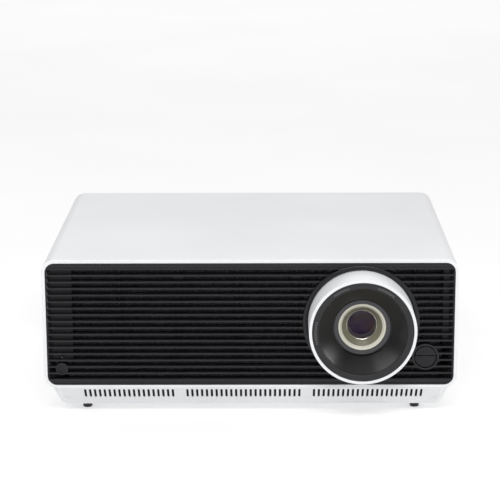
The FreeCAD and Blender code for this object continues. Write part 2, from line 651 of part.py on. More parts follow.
# ---------------------------------------------------------------- lens
def lens_barrel():
    flange_y = BARREL_Y + NOSE_STEP
    nose = tube_y(LENS_X, LENS_Z, NOSE_R, BARREL_IN, BARREL_Y, flange_y + 1)
    body = tube_y(LENS_X, LENS_Z, BARREL_R, BARREL_IN, flange_y, BARREL_END)
    flange = tube_y(LENS_X, LENS_Z, BARREL_FLANGE_R, BARREL_IN, flange_y, flange_y + BARREL_FLANGE_T)
    ring_y = FOCUS_Y + FOCUS_GEAR_W + 0.3
    stop = tube_y(LENS_X, LENS_Z, BARREL_R + 1.6, BARREL_IN, ring_y, ring_y + 2)
    seat = tube_y(LENS_X, LENS_Z, BARREL_R + 3, BARREL_IN, CARRIAGE_Y + CARRIAGE_T, CARRIAGE_Y + CARRIAGE_T + 4)
    slot_y = FOCUS_Y + FOCUS_GEAR_W / 2
    reach = FOCUS_TRAVEL + CAM_PIN_R + 0.2
    slot = box(LENS_X - CAM_PIN_R - 0.1, LENS_X + CAM_PIN_R + 0.1, slot_y - reach, slot_y + reach,
               LENS_Z - BARREL_R - 1, LENS_Z - BARREL_IN + 1)
    return fuse_all([nose, body, flange, stop, seat]).cut(slot)


def focus_ring():
    ring = gear_y(FOCUS_MODULE, FOCUS_TEETH, LENS_X, LENS_Z, FOCUS_Y, FOCUS_Y + FOCUS_GEAR_W,
                  BARREL_R + FIT, FOCUS_MOTOR_DEG)
    middle = FOCUS_Y + FOCUS_GEAR_W / 2
    groove_r = BARREL_R + 1.7
    half = CAM_PIN_R + 0.2
    track = tube_y(LENS_X, LENS_Z, groove_r, BARREL_R - 1, middle - half, middle + half)
    swing = groove_r * math.sin(math.radians(FOCUS_TURN_DEG))
    tilt = math.degrees(math.atan(FOCUS_TRAVEL / swing))
    track.rotate(V(LENS_X, middle, LENS_Z), V(0, 0, 1), tilt)
    keep = box(LENS_X - swing - 4, LENS_X + swing + 4, FOCUS_Y - 9, FOCUS_Y + FOCUS_GEAR_W + 9,
               LENS_Z - FOCUS_R, LENS_Z)
    return ring.cut(track.common(keep))


def focus_cell():
    front = BARREL_Y + CONE_DEPTH + ELEMENT_T
    body = tube_y(LENS_X, LENS_Z, CELL_R, CELL_R - CELL_WALL, front, BARREL_Y + CELL_L)
    pin_y = FOCUS_Y + FOCUS_GEAR_W / 2
    pin = Part.makeCylinder(CAM_PIN_R, BARREL_R + 1.4 - CELL_R + CELL_WALL / 2,
                            V(LENS_X, pin_y, LENS_Z - CELL_R + CELL_WALL / 2), V(0, 0, -1))
    return body.fuse(pin).removeSplitter()


def cone_baffle():
    """Pale stepped cone that frames the front glass."""
    back = BARREL_Y + CONE_DEPTH + ELEMENT_T
    step_y = BARREL_Y + CONE_DEPTH * (CELL_R - CONE_STEP_R) / (CELL_R - CONE_END_R)
    return turned_y([(CELL_R, BARREL_Y), (CELL_R - 0.6, BARREL_Y), (CONE_STEP_R + CONE_STEP / 2, step_y - 0.2),
                     (CONE_STEP_R + CONE_STEP / 2, step_y + 0.7), (CONE_STEP_R - CONE_STEP / 2, step_y + 0.7),
                     (CONE_END_R, BARREL_Y + CONE_DEPTH), (CONE_END_R, back), (CELL_R, back)], LENS_X, LENS_Z)


def lens_element(radius, y_front, y_back, bulge_front, bulge_back):
    """Glass with spherical faces; a positive bulge stands out of its flat edge band."""
    def at(r, y):
        return V(LENS_X + r, y, LENS_Z)

    def sag(bulge, r):
        ball = (radius * radius + bulge * bulge) / (2 * bulge)
        return ball - math.sqrt(ball * ball - r * r)

    nose, tail, halfway = y_front - bulge_front, y_back + bulge_back, radius / 2
    outline = [Part.Arc(at(0, nose), at(halfway, nose + sag(bulge_front, halfway)), at(radius, y_front)),
               Part.LineSegment(at(radius, y_front), at(radius, y_back)),
               Part.Arc(at(radius, y_back), at(halfway, tail - sag(bulge_back, halfway)), at(0, tail)),
               Part.LineSegment(at(0, tail), at(0, nose))]
    section = Part.Face(Part.Wire([curve.toShape() for curve in outline]))
    return section.revolve(V(LENS_X, 0, LENS_Z), V(0, 1, 0), 360)


def front_lens():
    edge = BARREL_Y + CONE_DEPTH
    return lens_element(CONE_END_R - FIT, edge + 0.4, edge + ELEMENT_T - 0.6, FRONT_LENS_BULGE, 0.4)


def inner_baffle():
    """Dark cup between the front glass and the second element."""
    front = BARREL_Y + CONE_DEPTH + ELEMENT_T
    out = CELL_R - CELL_WALL - FIT
    back = front + BAFFLE_L
    mouth = CONE_END_R - BAFFLE_LIP
    return turned_y([(out, front + FIT), (mouth, front + FIT), (mouth, back - BAFFLE_LIP),
                     (BAFFLE_END_R, back), (BAFFLE_END_R, back + ELEMENT_T), (out, back + ELEMENT_T)],
                    LENS_X, LENS_Z)


def inner_lenses():
    """The element behind the dark cup and two larger ones near the lens's rear."""
    front = BARREL_Y + CONE_DEPTH + ELEMENT_T + BAFFLE_L
    wide = CELL_R - CELL_WALL - FIT
    elements = [lens_element(BAFFLE_END_R - FIT, front + 0.8, front + ELEMENT_T - 0.6, 1.6, 0.4)]
    for from_rear in REAR_ELEMENTS:
        y = BARREL_Y + CELL_L - from_rear
        elements.append(lens_element(wide, y, y + ELEMENT_T, 1.5, 1.0))
    return group(elements)


def motor_place():
    angle = math.radians(FOCUS_MOTOR_DEG)
    reach = FOCUS_R + FOCUS_PINION_R
    return LENS_X + reach * math.cos(angle), LENS_Z + reach * math.sin(angle)


def focus_pinion():
    x, z = motor_place()
    return gear_y(FOCUS_MODULE, FOCUS_PINION_TEETH, x, z, FOCUS_Y, FOCUS_Y + FOCUS_GEAR_W,
                  1.0 + FIT, FOCUS_MOTOR_DEG + 180 + 180 / FOCUS_PINION_TEETH)


def focus_motor():
    x, z = motor_place()
    front = FOCUS_Y + FOCUS_GEAR_W + 0.4
    can = cyl_y(x, z, FOCUS_MOTOR_R, front, CARRIAGE_Y)
    return can.fuse(cyl_y(x, z, 1.0, FOCUS_Y - 1, front)).removeSplitter()


# ---------------------------------------------------------------- lens shift
def rod_places():
    return [(LENS_X - ROD_SPREAD, CARRIAGE_Y + CARRIAGE_T / 2), (LENS_X + ROD_SPREAD, CARRIAGE_Y + CARRIAGE_T / 2)]


def shift_carriage():
    half = CARRIAGE_H / 2
    right = RACK_X - 1.25 * SHIFT_MODULE
    plate = box(LENS_X - CARRIAGE_LEFT, right, CARRIAGE_Y, CARRIAGE_Y + CARRIAGE_T, LENS_Z - half, LENS_Z + half)
    teeth = rack_y(SHIFT_MODULE, RACK_TEETH, RACK_X, IDLER_Z, right - 2, CARRIAGE_Y, CARRIAGE_Y + CARRIAGE_T)
    carriage = plate.fuse(teeth).removeSplitter()
    holes = [cyl_y(LENS_X, LENS_Z, BARREL_R, CARRIAGE_Y - 1, CARRIAGE_Y + CARRIAGE_T + 1)]
    holes += [cyl_z(x, y, ROD_R + FIT, LENS_Z - half - 1, LENS_Z + half + 1) for x, y in rod_places()]
    return cut_all(carriage, holes)


def lens_frame():
    """Fixed bracket with the guide rods' lugs, the idler's stud and the dial shaft's rear bearing."""
    right = IDLER_X + 9
    left = LENS_X - CARRIAGE_LEFT - 2
    lug_low = LENS_Z + CARRIAGE_H / 2 + LUG_CLEAR
    top = lug_low + LUG
    plate = box(left, right, FRAME_Y, FRAME_Y + FRAME_T, BASE_Z, top)
    foot = box(left, CHASSIS_X - 2, FRAME_Y - 16, FRAME_Y, BASE_Z, BASE_Z + FRAME_T)
    lugs = []
    for x, y in rod_places():
        for low in (lug_low, 2 * LENS_Z - top):
            lugs.append(box(x - 5, x + 5, y - 5, FRAME_Y, low, low + LUG))
    stud = cyl_y(IDLER_X, IDLER_Z, IDLER_SHAFT_R, GEAR_Y - 1.5, FRAME_Y + FRAME_T)
    frame = fuse_all([plate, foot, stud] + lugs)
    holes = [cyl_y(LENS_X, LENS_Z, FRAME_HOLE_R, FRAME_Y - 1, FRAME_Y + FRAME_T + 1),
             cyl_y(DIAL_X, DIAL_Z, SHAFT_R + FIT, FRAME_Y - 1, FRAME_Y + FRAME_T + 1)]
    holes += [cyl_z(x, y, ROD_R, 2 * LENS_Z - top, top) for x, y in rod_places()]
    return cut_all(frame, holes)


def guide_rods():
    reach = CARRIAGE_H / 2 + LUG_CLEAR + LUG
    return group([cyl_z(x, y, ROD_R, LENS_Z - reach, LENS_Z + reach) for x, y in rod_places()])


def shift_idler():
    big = gear_y(SHIFT_MODULE, IDLER_TEETH, IDLER_X, IDLER_Z, GEAR_Y, GEAR_Y + GEAR_W,
                 IDLER_SHAFT_R + FIT, 270 + 180 / IDLER_TEETH)
    hub = tube_y(IDLER_X, IDLER_Z, PINION_R - 1.5 * SHIFT_MODULE, IDLER_SHAFT_R + FIT,
                 GEAR_Y + GEAR_W, CARRIAGE_Y + CARRIAGE_T)
    small = gear_y(SHIFT_MODULE, PINION_TEETH, IDLER_X, IDLER_Z, CARRIAGE_Y, CARRIAGE_Y + CARRIAGE_T,
                   IDLER_SHAFT_R + FIT, 180)
    return fuse_all([big, hub, small])


def shift_dial():
    """Coin-slotted disc, shaft and pinion in one moulding."""
    face_y = FRONT_Y - DIAL_PROUD
    disc = cyl_y(DIAL_X, DIAL_Z, DIAL_R, face_y, FRONT_Y + DIAL_T)
    rim = [e for e in disc.Edges if abs(e.BoundBox.YMin - face_y) < 1e-6 and e.BoundBox.YLength < 1e-6]
    disc = disc.makeFillet(DIAL_RIM_R, rim)
    coin_z = DIAL_Z + COIN_RISE
    coin = box(DIAL_X - DIAL_R, DIAL_X + DIAL_R, FRONT_Y - 1, face_y + COIN_DEPTH,
               coin_z - DIAL_GROOVE / 2, coin_z + DIAL_GROOVE / 2)
    shaft = cyl_y(DIAL_X, DIAL_Z, SHAFT_R, FRONT_Y + DIAL_T, FRAME_Y + FRAME_T)
    pinion = gear_y(SHIFT_MODULE, PINION_TEETH, DIAL_X, DIAL_Z, GEAR_Y, GEAR_Y + GEAR_W, SHAFT_R - 1, 90)
    return fuse_all([disc.cut(coin), shaft, pinion])


def dial_surround():
    """Cup that frames the dial and carries its shaft."""
    cup = cyl_y(DIAL_X, DIAL_Z, SURROUND_R, FRONT_Y - TRIM_PROUD, GRILLE_BACK)
    well = cyl_y(DIAL_X, DIAL_Z, DIAL_R + DIAL_GAP, FRONT_Y - 1, FRONT_Y + DIAL_T + 0.5)
    bore = cyl_y(DIAL_X, DIAL_Z, SHAFT_R + FIT, FRONT_Y, GRILLE_BACK + 1)
    return cut_all(cup, [well, bore])


# ---------------------------------------------------------------- power button and status light
def power_button():
    face_y = FRONT_Y + BUTTON_BACK
    cap = cyl_y(BUTTON_X, BUTTON_Z, BUTTON_R, face_y, face_y + BUTTON_T)
    dish = Part.makeSphere(BUTTON_DISH_R, V(BUTTON_X, face_y + BUTTON_DISH - BUTTON_DISH_R, BUTTON_Z))
    stem = cyl_y(BUTTON_X, BUTTON_Z, STEM_R, face_y + BUTTON_T, GRILLE_BACK + 1)
    return cap.cut(dish).fuse(stem).removeSplitter()


def button_bezel():
    lip = tube_y(BUTTON_X, BUTTON_Z, BEZEL_R, BUTTON_R + BUTTON_GAP, FRONT_Y - BEZEL_PROUD, FRONT_Y + 2)
    guide = tube_y(BUTTON_X, BUTTON_Z, BEZEL_R - 1, STEM_R + FIT, FRONT_Y + 2, GRILLE_BACK)
    well = cyl_y(BUTTON_X, BUTTON_Z, BUTTON_R + BUTTON_GAP, FRONT_Y,
                 FRONT_Y + BUTTON_BACK + BUTTON_T + BUTTON_TRAVEL + 0.5)
    return lip.fuse(guide.cut(well)).removeSplitter()


def button_board():
    y0 = GRILLE_BACK + BOARD_BEHIND + BUTTON_TRAVEL
    y1 = y0 + SWITCH_H
    board = box(BUTTON_X - SWITCH, BUTTON_X + BUTTON_BOARD_RIGHT, y1, y1 + BOARD_T,
                BUTTON_Z - SWITCH, LIGHT_Z + BUTTON_BOARD_OVER)
    switch = box(BUTTON_X - SWITCH / 2, BUTTON_X + SWITCH / 2, y0, y1, BUTTON_Z - SWITCH / 2, BUTTON_Z + SWITCH / 2)
    posts = [cyl_y(BUTTON_X - 4.3, z, 1.2, GRILLE_BACK, y1) for z in (BUTTON_Z - 4.6, LIGHT_Z + 3.6)]
    return fuse_all([board, switch] + posts)


def status_light():
    return cyl_y(LIGHT_X, LIGHT_Z, LIGHT_R, FRONT_Y + 0.4, GRILLE_BACK + BOARD_BEHIND + BUTTON_TRAVEL)


# ---------------------------------------------------------------- feet, screws and mounts
def foot_pads():
    """Four rubber pads, each with a pocket for the end of its foot."""
    pads = []
    for x, y in foot_places():
        pad = cyl_z(x, y, FOOT_R, 0, FOOT_PAD_H)
        low = [e for e in pad.Edges if e.BoundBox.ZMax < 1e-6]
        pads.append(pad.makeFillet(FOOT_PAD_ROUND, low).cut(
            cyl_z(x, y, FOOT_SPIGOT_R + FIT, FOOT_PAD_SKIN, FOOT_PAD_H + 1)))
    return group(pads)


def foot_screw(x, y):
    flange = cyl_z(x, y, FOOT_R, FOOT_PAD_H + FIT, FOOT_H - FOOT_FLANGE_GAP)
    thread = cyl_z(x, y, FOOT_THREAD_R, FOOT_H - FOOT_FLANGE_GAP, FLOOR_Z + FOOT_THREAD_L - 3)
    spigot = cyl_z(x, y, FOOT_SPIGOT_R, FOOT_PAD_SKIN + 0.1, FOOT_PAD_H + FIT)
    return fuse_all([flange, thread, spigot])


def rear_foot_studs():
    return group([foot_screw(x, REAR_FOOT_Y) for x in (-FOOT_X, FOOT_X)])


def screw_up(x, y, seat_z, length):
    head = cyl_z(x, y, SCREW_HEAD_R, seat_z - SCREW_HEAD_T, seat_z)
    socket = cyl_z(x, y, SCREW_HEAD_R * 0.45, seat_z - SCREW_HEAD_T - 1, seat_z - SCREW_HEAD_T * 0.45)
    return head.fuse(cyl_z(x, y, SCREW_R, seat_z, seat_z + length)).removeSplitter().cut(socket)


def machine_screws():
    """Four long screws from below into the cover, six short ones from above into the tray's posts."""
    screws = [screw_up(x, y, LIP_Z, SPLIT_Z - LIP_Z + COVER_BITE) for x, y in boss_places()]
    for x, y in post_places():
        screw = screw_up(x, y, 0, CHASSIS_T + CHASSIS_RISE - 1)
        screw.rotate(V(x, y, 0), V(1, 0, 0), 180)
        screw.translate(V(0, 0, BASE_Z))
        screws.append(screw)
    return group(screws)


def mount_inserts():
    return group([cyl_z(x, y, INSERT_OUT_R, PAN_Z, PAN_Z + INSERT_L).cut(
        cyl_z(x, y, INSERT_R, PAN_Z - 1, PAN_Z + INSERT_L + 1)) for x, y in insert_places()])


# ---------------------------------------------------------------- chassis and cooling
def chassis_plate():
    plate = box(-CHASSIS_X, CHASSIS_X, FRONT_Y + CHASSIS_FRONT, REAR_Y - CHASSIS_REAR, PLATE_Z, BASE_Z)
    return cut_all(plate, [cyl_z(x, y, SCREW_R + 0.2, PLATE_Z - 1, BASE_Z + 1) for x, y in post_places()])


def fan_centres():
    first = -X_IN + FAN_LEFT + FAN / 2
    return [(first + index * (FAN + FAN_SPACE), BASE_Z + FAN_RISE + FAN / 2) for index in range(2)]


def fan_bracket():
    """Raised sheet that lifts the two fans to the height of the grille."""
    left = fan_centres()[0][0] - FAN / 2
    right = fan_centres()[1][0] + FAN / 2
    y0 = FRONT_Y + CHASSIS_FRONT
    y1 = FRONT_Y + FAN_FRONT + FAN_T
    top = BASE_Z + FAN_RISE
    shelf = box(left, right, y0, y1, top - SHEET, top)
    pieces = [shelf]
    for x in (-CHASSIS_X + 2, right - SHEET):
        pieces.append(box(x, x + SHEET, y0, y1, BASE_Z, top - SHEET))
        inward = 10 if x < 0 else -10
        pieces.append(box(min(x, x + inward), max(x, x + inward) + SHEET, y0, y1, BASE_Z, BASE_Z + SHEET))
    return fuse_all(pieces)


def fan_frame(x, z):
    y0 = FRONT_Y + FAN_FRONT
    frame = rounded_y(x - FAN / 2, x + FAN / 2, z - FAN / 2, z + FAN / 2, 4, y0, y0 + FAN_T)
    frame = frame.cut(cyl_y(x, z, FAN_BORE_R, y0 - 1, y0 + FAN_T + 1))
    hub = cyl_y(x, z, FAN_HUB_R, y0 + FAN_T - 3, y0 + FAN_T)
    pieces = [frame, hub]
    for degrees in (45, 135, 225, 315):
        strut = box(x + FAN_HUB_R - 2, x + FAN_BORE_R + 2, y0 + FAN_T - 3, y0 + FAN_T, z - 1.5, z + 1.5)
        strut.rotate(V(x, 0, z), V(0, 1, 0), degrees)
        pieces.append(strut)
    pieces.append(cyl_y(x, z, FAN_PIN_R, y0 + FAN_T - 14, y0 + FAN_T - 3))
    holes = [cyl_y(x + sx * (FAN / 2 - 4.75), z + sz * (FAN / 2 - 4.75), 2.2, y0 - 1, y0 + FAN_T + 1)
             for sx in (-1, 1) for sz in (-1, 1)]
    return cut_all(fuse_all(pieces), holes)


def fan_rotor(x, z):
    y0 = FRONT_Y + FAN_FRONT + 1.5
    depth = FAN_T - 6.5
    pieces = [cyl_y(x, z, FAN_HUB_R, y0, y0 + depth)]
    tip = FAN_BORE_R - FAN_TIP_GAP
    for index in range(BLADES):
        blade = box(x + FAN_HUB_R - 2, x + tip - 1.5, y0 + depth / 2 - 0.9, y0 + depth / 2 + 0.9, z - 9, z + 9)
        blade.rotate(V(x, y0 + depth / 2, z), V(1, 0, 0), 35)
        blade.rotate(V(x, 0, z), V(0, 1, 0), index * 360 / BLADES)
        pieces.append(blade)
    return fuse_all(pieces).cut(cyl_y(x, z, FAN_PIN_R + FIT, y0 + depth - 11, y0 + depth + 1))


# ---------------------------------------------------------------- light engine
def engine_housing():
    x1, y1, z1 = ENGINE_X + ENGINE_W, ENGINE_Y + ENGINE_D, ENGINE_Z + ENGINE_H
    wall = ENGINE_WALL
    shell = box(ENGINE_X, x1, ENGINE_Y, y1, ENGINE_Z, z1 - wall)
    shell = shell.cut(box(ENGINE_X + wall, x1 - wall, ENGINE_Y + wall, y1 - wall, ENGINE_Z + wall, z1))
    legs = [cyl_z(x, y, 5, BASE_Z, ENGINE_Z + 1)
            for x in (ENGINE_X + 8, CHASSIS_X - ENGINE_LEG) for y in (ENGINE_Y + 10, y1 - 10)]
    prism_y = prism_place()
    stand = box(LENS_X - PRISM / 2, LENS_X + PRISM / 2, prism_y, prism_y + PRISM, ENGINE_Z + 1, LENS_Z - PRISM / 2)
    shell = fuse_all([shell, stand] + legs)
    lens_port = cyl_y(LENS_X, LENS_Z, CELL_R, ENGINE_Y - 1, ENGINE_Y + wall + 1)
    light_port = box(ENGINE_X - 1, ENGINE_X + wall + 1, wheel_y() - TUNNEL / 2 - 1, wheel_y() + TUNNEL / 2 + 1,
                     LENS_Z - TUNNEL / 2 - 1, LENS_Z + TUNNEL / 2 + 1)
    chip_port = box(LENS_X - 13, LENS_X + 13, y1 - wall - 1, y1 + 1, LENS_Z - 10, LENS_Z + 10)
    return cut_all(shell, [lens_port, light_port, chip_port])


def engine_lid():
    z1 = ENGINE_Z + ENGINE_H
    return box(ENGINE_X, ENGINE_X + ENGINE_W, ENGINE_Y, ENGINE_Y + ENGINE_D, z1 - ENGINE_WALL, z1)


def prism_place():
    return ENGINE_Y + ENGINE_D - ENGINE_WALL - PRISM - 4


def wheel_y():
    return prism_place() + PRISM / 2


def prism_block():
    """Two glass wedges, with a thin air gap between them, that fold the light onto the chip."""
    y0 = prism_place()
    half = PRISM / 2
    x0, x1, z0, z1 = LENS_X - half, LENS_X + half, LENS_Z - half, LENS_Z + half
    left = Part.Face(Part.makePolygon([V(x0, y0, z0), V(x1 - 0.2, y0, z0), V(x0, y0 + PRISM - 0.2, z0),
                                       V(x0, y0, z0)])).extrude(V(0, 0, PRISM))
    right = Part.Face(Part.makePolygon([V(x1, y0 + 0.2, z0), V(x1, y0 + PRISM, z0), V(x0 + 0.2, y0 + PRISM, z0),
                                        V(x1, y0 + 0.2, z0)])).extrude(V(0, 0, PRISM))
    return group([left, right])


def light_tunnel():
    y, x0, x1 = wheel_y(), ENGINE_X - 6, LENS_X - PRISM / 2 - 3
    bar = box(x0, x1, y - TUNNEL / 2, y + TUNNEL / 2, LENS_Z - TUNNEL / 2, LENS_Z + TUNNEL / 2)
    return bar.cut(box(x0 - 1, x1 + 1, y - TUNNEL / 2 + 1, y + TUNNEL / 2 - 1,
                       LENS_Z - TUNNEL / 2 + 1, LENS_Z + TUNNEL / 2 - 1))


def wheel_x():
    return ENGINE_X - 6 - 3 - WHEEL_T


def phosphor_wheel():
    x, y, z = wheel_x(), wheel_y(), LENS_Z - WHEEL_OFFSET
    disc = cyl_x(y, z, WHEEL_R, x, x + WHEEL_T)
    hub = cyl_x(y, z, 7, x - 3, x + WHEEL_T + 1)
    return disc.fuse(hub).cut(cyl_x(y, z, 1.5 + FIT, x - 4, x + 4)).removeSplitter()


def wheel_motor():
    x, y, z = wheel_x(), wheel_y(), LENS_Z - WHEEL_OFFSET
    can = cyl_x(y, z, WHEEL_MOTOR_R, x - 15, x - 3.5)
    shaft = cyl_x(y, z, 1.5, x - 3.5, x + WHEEL_T + 1)
    return can.fuse(shaft).removeSplitter()


def wheel_bracket():
    x, y, z = wheel_x() - 15, wheel_y(), LENS_Z - WHEEL_OFFSET
    plate = box(x - 2, x, y - 14, y + 14, BASE_Z, z + 14)
    return plate.fuse(box(x - 14, x, y - 14, y + 14, BASE_Z, BASE_Z + 2)).removeSplitter()


def laser_x():
    return wheel_x() - 15 - 14 - 4


def sink_z():
    return BASE_Z + 12


def laser_module():
    """Laser diode bank: a block with lens barrels that look at the phosphor wheel."""
    x1, y = laser_x(), wheel_y()
    z0 = LENS_Z - LASER_H / 2
    block = box(x1 - LASER_L, x1, y - LASER_D / 2, y + LASER_D / 2, z0, z0 + LASER_H)
    diodes = [cyl_x(y + dy, LENS_Z + dz, 4, x1 - 1, x1 + 4)
              for dy in (-24, -8, 8, 24) for dz in (-18, 0, 18)]
    pipes = [cyl_x(y + dy, LENS_Z + dz, PIPE_R, x1 - LASER_L - 1, x1 - LASER_L / 2)
             for dy in (-26, 26) for dz in (-20, 20)]
    return cut_all(fuse_all([block] + diodes), pipes)


def laser_heatsink():
    x1, y = laser_x() - LASER_L - 2, wheel_y()
    x0 = x1 - SINK_L
    z0 = sink_z()
    fins = []
    count = int((SINK_L - FIN_T) // FIN_PITCH) + 1
    for index in range(count):
        x = x0 + index * FIN_PITCH
        fins.append(box(x, x + FIN_T, y - 44, y + 44, z0, z0 + SINK_H))
    base = box(x0, x0 + (count - 1) * FIN_PITCH + FIN_T, y - 44, y + 44, z0, z0 + 5)
    legs = [box(x, x + 12, y + side * 44 - 6, y + side * 44 + 6, BASE_Z, z0 + 1)
            for x in (x0 + 12, x1 - 24) for side in (-1, 1)]
    sink = fuse_all([base] + fins + legs)
    pipes = [cyl_x(y + dy, LENS_Z + dz, PIPE_R, x0 - 1, x1 + 1) for dy in (-26, 26) for dz in (-20, 20)]
    return cut_all(sink, pipes)


def heat_pipes():
    x1, y = laser_x(), wheel_y()
    x0 = x1 - LASER_L - 2 - SINK_L
    return group([cyl_x(y + dy, LENS_Z + dz, PIPE_R, x0, x1 - LASER_L / 2) for dy in (-26, 26) for dz in (-20, 20)])


def chip_board():
    y0 = ENGINE_Y + ENGINE_D + 1
    board = box(LENS_X - 30, LENS_X + 30, y0, y0 + BOARD_T, LENS_Z - 25, LENS_Z + 25)
    return board.fuse(box(LENS_X - 11, LENS_X + 11, y0 - 3.5, y0, LENS_Z - 8, LENS_Z + 8)).removeSplitter()


def chip_heatsink():
    y0 = ENGINE_Y + ENGINE_D + 1 + BOARD_T
    pieces = [box(LENS_X - 24, LENS_X + 24, y0, y0 + 3, LENS_Z - 22, LENS_Z + 22)]
    for index in range(9):
        x = LENS_X - 24 + index * 5.81
        pieces.append(box(x, x + FIN_T, y0 + 3, y0 + 17, LENS_Z - 22, LENS_Z + 22))
    return fuse_all(pieces)


# ---------------------------------------------------------------- electronics and rear panel
# Each socket: name, distance from the casing's right side, width, height, depth, cavity width, cavity height.
SOCKETS = (("hdmi", 190.0, 15.4, 6.6, 12.0, 14.0, 4.6), ("hdmi", 165.0, 15.4, 6.6, 12.0, 14.0, 4.6),
           ("usb", 143.0, 14.4, 7.4, 14.0, 12.6, 5.2), ("lan", 118.0, 16.4, 13.6, 18.0, 12.4, 9.0))
JACK_FROM_RIGHT = (52.0, 36.0)
JACK_R = 4.0
JACK_BORE = 1.8
JACK_Z = 5.0
INLET_FROM_LEFT = 50.0
INLET_W = 31.0
INLET_H = 24.0
INLET_Z = 40.0
INLET_L = 22.0
LOCK_FROM_RIGHT = 22.0
LOCK_Z = BASE_Z + 26.0
LOCK_W = 7.0
LOCK_H = 3.2
REAR_VENT_ROWS = 6
REAR_VENT_COLUMNS = 24
REAR_VENT_PITCH_X = 12.5
REAR_VENT_PITCH_Z = 6.0
REAR_VENT_W = 9.0
REAR_VENT_H = 2.4
REAR_VENT_LEFT = 40.0     # first column from the casing's left side
REAR_VENT_DROP = 17.0     # first row below the casing's top
BOARD_LEFT = 214.0        # main board's left edge from the casing's right side
BOARD_RIGHT = 26.0
BOARD_BACK_GAP = 0.5      # main board ahead of the rear panel
BOARD_POST_R = 3.0
BOARD_POST_IN = 8.0       # posts inside the board's edges
CHIP = 28.0
CHIP_T = 3.0
CHIP_PITCH = 44.0
SUPPLY_FROM_LEFT = 49.0   # power supply from the casing's left side
SUPPLY_W = 98.0
SUPPLY_D = 64.0
SUPPLY_H = 52.0
SUPPLY_WALL = 2.0
CAN_R = 9.0               # capacitors and transformer on the supply's board
CAN_H = 34.0
TRANSFORMER = 32.0
SPEAKER_FROM_LEFT = 108.0
SPEAKER_DROP = 4.0        # speaker below the lens axis
SPEAKER_R = 20.0
SPEAKER_MOUTH_R = 17.4
SPEAKER_DEPTH = 8.0
MAGNET_R = 12.0
MAGNET_L = 10.0


def socket_box(spec, y0, y1, grow):
    name, from_right, width, height, depth, cavity_w, cavity_h = spec
    x = X_OUT - from_right
    z0 = BOARD_Z + BOARD_T
    return box(x - width / 2 - grow, x + width / 2 + grow, y0, y1, z0 - grow, z0 + height + grow)


def sockets(kind):
    made = []
    for spec in SOCKETS:
        name, from_right, width, height, depth, cavity_w, cavity_h = spec
        if name != kind:
            continue
        x = X_OUT - from_right
        middle = BOARD_Z + BOARD_T + height / 2
        y1 = PANEL_BACK + 0.4
        body = socket_box(spec, y1 - depth, y1, 0)
        cavity = box(x - cavity_w / 2, x + cavity_w / 2, y1 - depth + 2, y1 + 1,
                     middle - cavity_h / 2, middle + cavity_h / 2)
        tongue = box(x - cavity_w / 2 + 2, x + cavity_w / 2 - 2, y1 - depth + 1, y1 - 2, middle - 0.5, middle + 0.5)
        body = body.cut(cavity)
        made.append(body.fuse(tongue).removeSplitter() if kind in ("hdmi", "usb") else body)
    return group(made) if len(made) > 1 else made[0]


def audio_jacks():
    z = BOARD_Z + BOARD_T + JACK_Z
    jacks = []
    for from_right in JACK_FROM_RIGHT:
        x = X_OUT - from_right
        body = box(x - 5.5, x + 5.5, PANEL_IN - 12, PANEL_IN - 0.5, BOARD_Z + BOARD_T, z + 5)
        barrel = cyl_y(x, z, JACK_R, PANEL_IN - 0.5, PANEL_BACK + 0.8)
        jacks.append(body.fuse(barrel).cut(cyl_y(x, z, JACK_BORE, PANEL_IN - 10, PANEL_BACK + 2)).removeSplitter())
    return group(jacks)


def ac_inlet():
    x = -X_OUT + INLET_FROM_LEFT
    z0 = BASE_Z + INLET_Z - INLET_H / 2
    y1 = PANEL_BACK + 0.5
    body = box(x - INLET_W / 2, x + INLET_W / 2, y1 - INLET_L, y1, z0, z0 + INLET_H)
    cavity = box(x - INLET_W / 2 + 3, x + INLET_W / 2 - 3, y1 - INLET_L + 3, y1 + 1, z0 + 3, z0 + INLET_H - 3)
    body = body.cut(cavity)
    middle = z0 + INLET_H / 2
    pins = [box(x + dx - 1, x + dx + 1, y1 - INLET_L + 2, y1 - 3, middle + dz - 2, middle + dz + 2)
            for dx, dz in ((-7, -2), (0, 2), (7, -2))]
    return fuse_all([body] + pins)


def rear_panel():
    plate = rounded_y(-PANEL_X, PANEL_X, PANEL_LOW, PANEL_TOP, PANEL_R, PANEL_IN, PANEL_BACK)
    cuts = [socket_box(spec, PANEL_IN - 1, PANEL_BACK + 1, PORT_CLEAR) for spec in SOCKETS]
    z = BOARD_Z + BOARD_T + JACK_Z
    cuts += [cyl_y(X_OUT - d, z, JACK_R + PORT_CLEAR, PANEL_IN - 1, PANEL_BACK + 1) for d in JACK_FROM_RIGHT]
    x = -X_OUT + INLET_FROM_LEFT
    z0 = BASE_Z + INLET_Z - INLET_H / 2 - PORT_CLEAR
    cuts.append(box(x - INLET_W / 2 - PORT_CLEAR, x + INLET_W / 2 + PORT_CLEAR, PANEL_IN - 1, PANEL_BACK + 1,
                    z0, z0 + INLET_H + 2 * PORT_CLEAR))
    lock_x = X_OUT - LOCK_FROM_RIGHT
    cuts.append(box(lock_x - LOCK_W / 2, lock_x + LOCK_W / 2, PANEL_IN - 1, PANEL_BACK + 1,
                    LOCK_Z - LOCK_H / 2, LOCK_Z + LOCK_H / 2))
    for row in range(REAR_VENT_ROWS):
        for column in range(REAR_VENT_COLUMNS):
            slot_x = -X_OUT + REAR_VENT_LEFT + column * REAR_VENT_PITCH_X
            high = TOP_Z - REAR_VENT_DROP - row * REAR_VENT_PITCH_Z
            cuts.append(box(slot_x, slot_x + REAR_VENT_W, PANEL_IN - 1, PANEL_BACK + 1, high - REAR_VENT_H, high))
    return cut_all(plate, cuts)


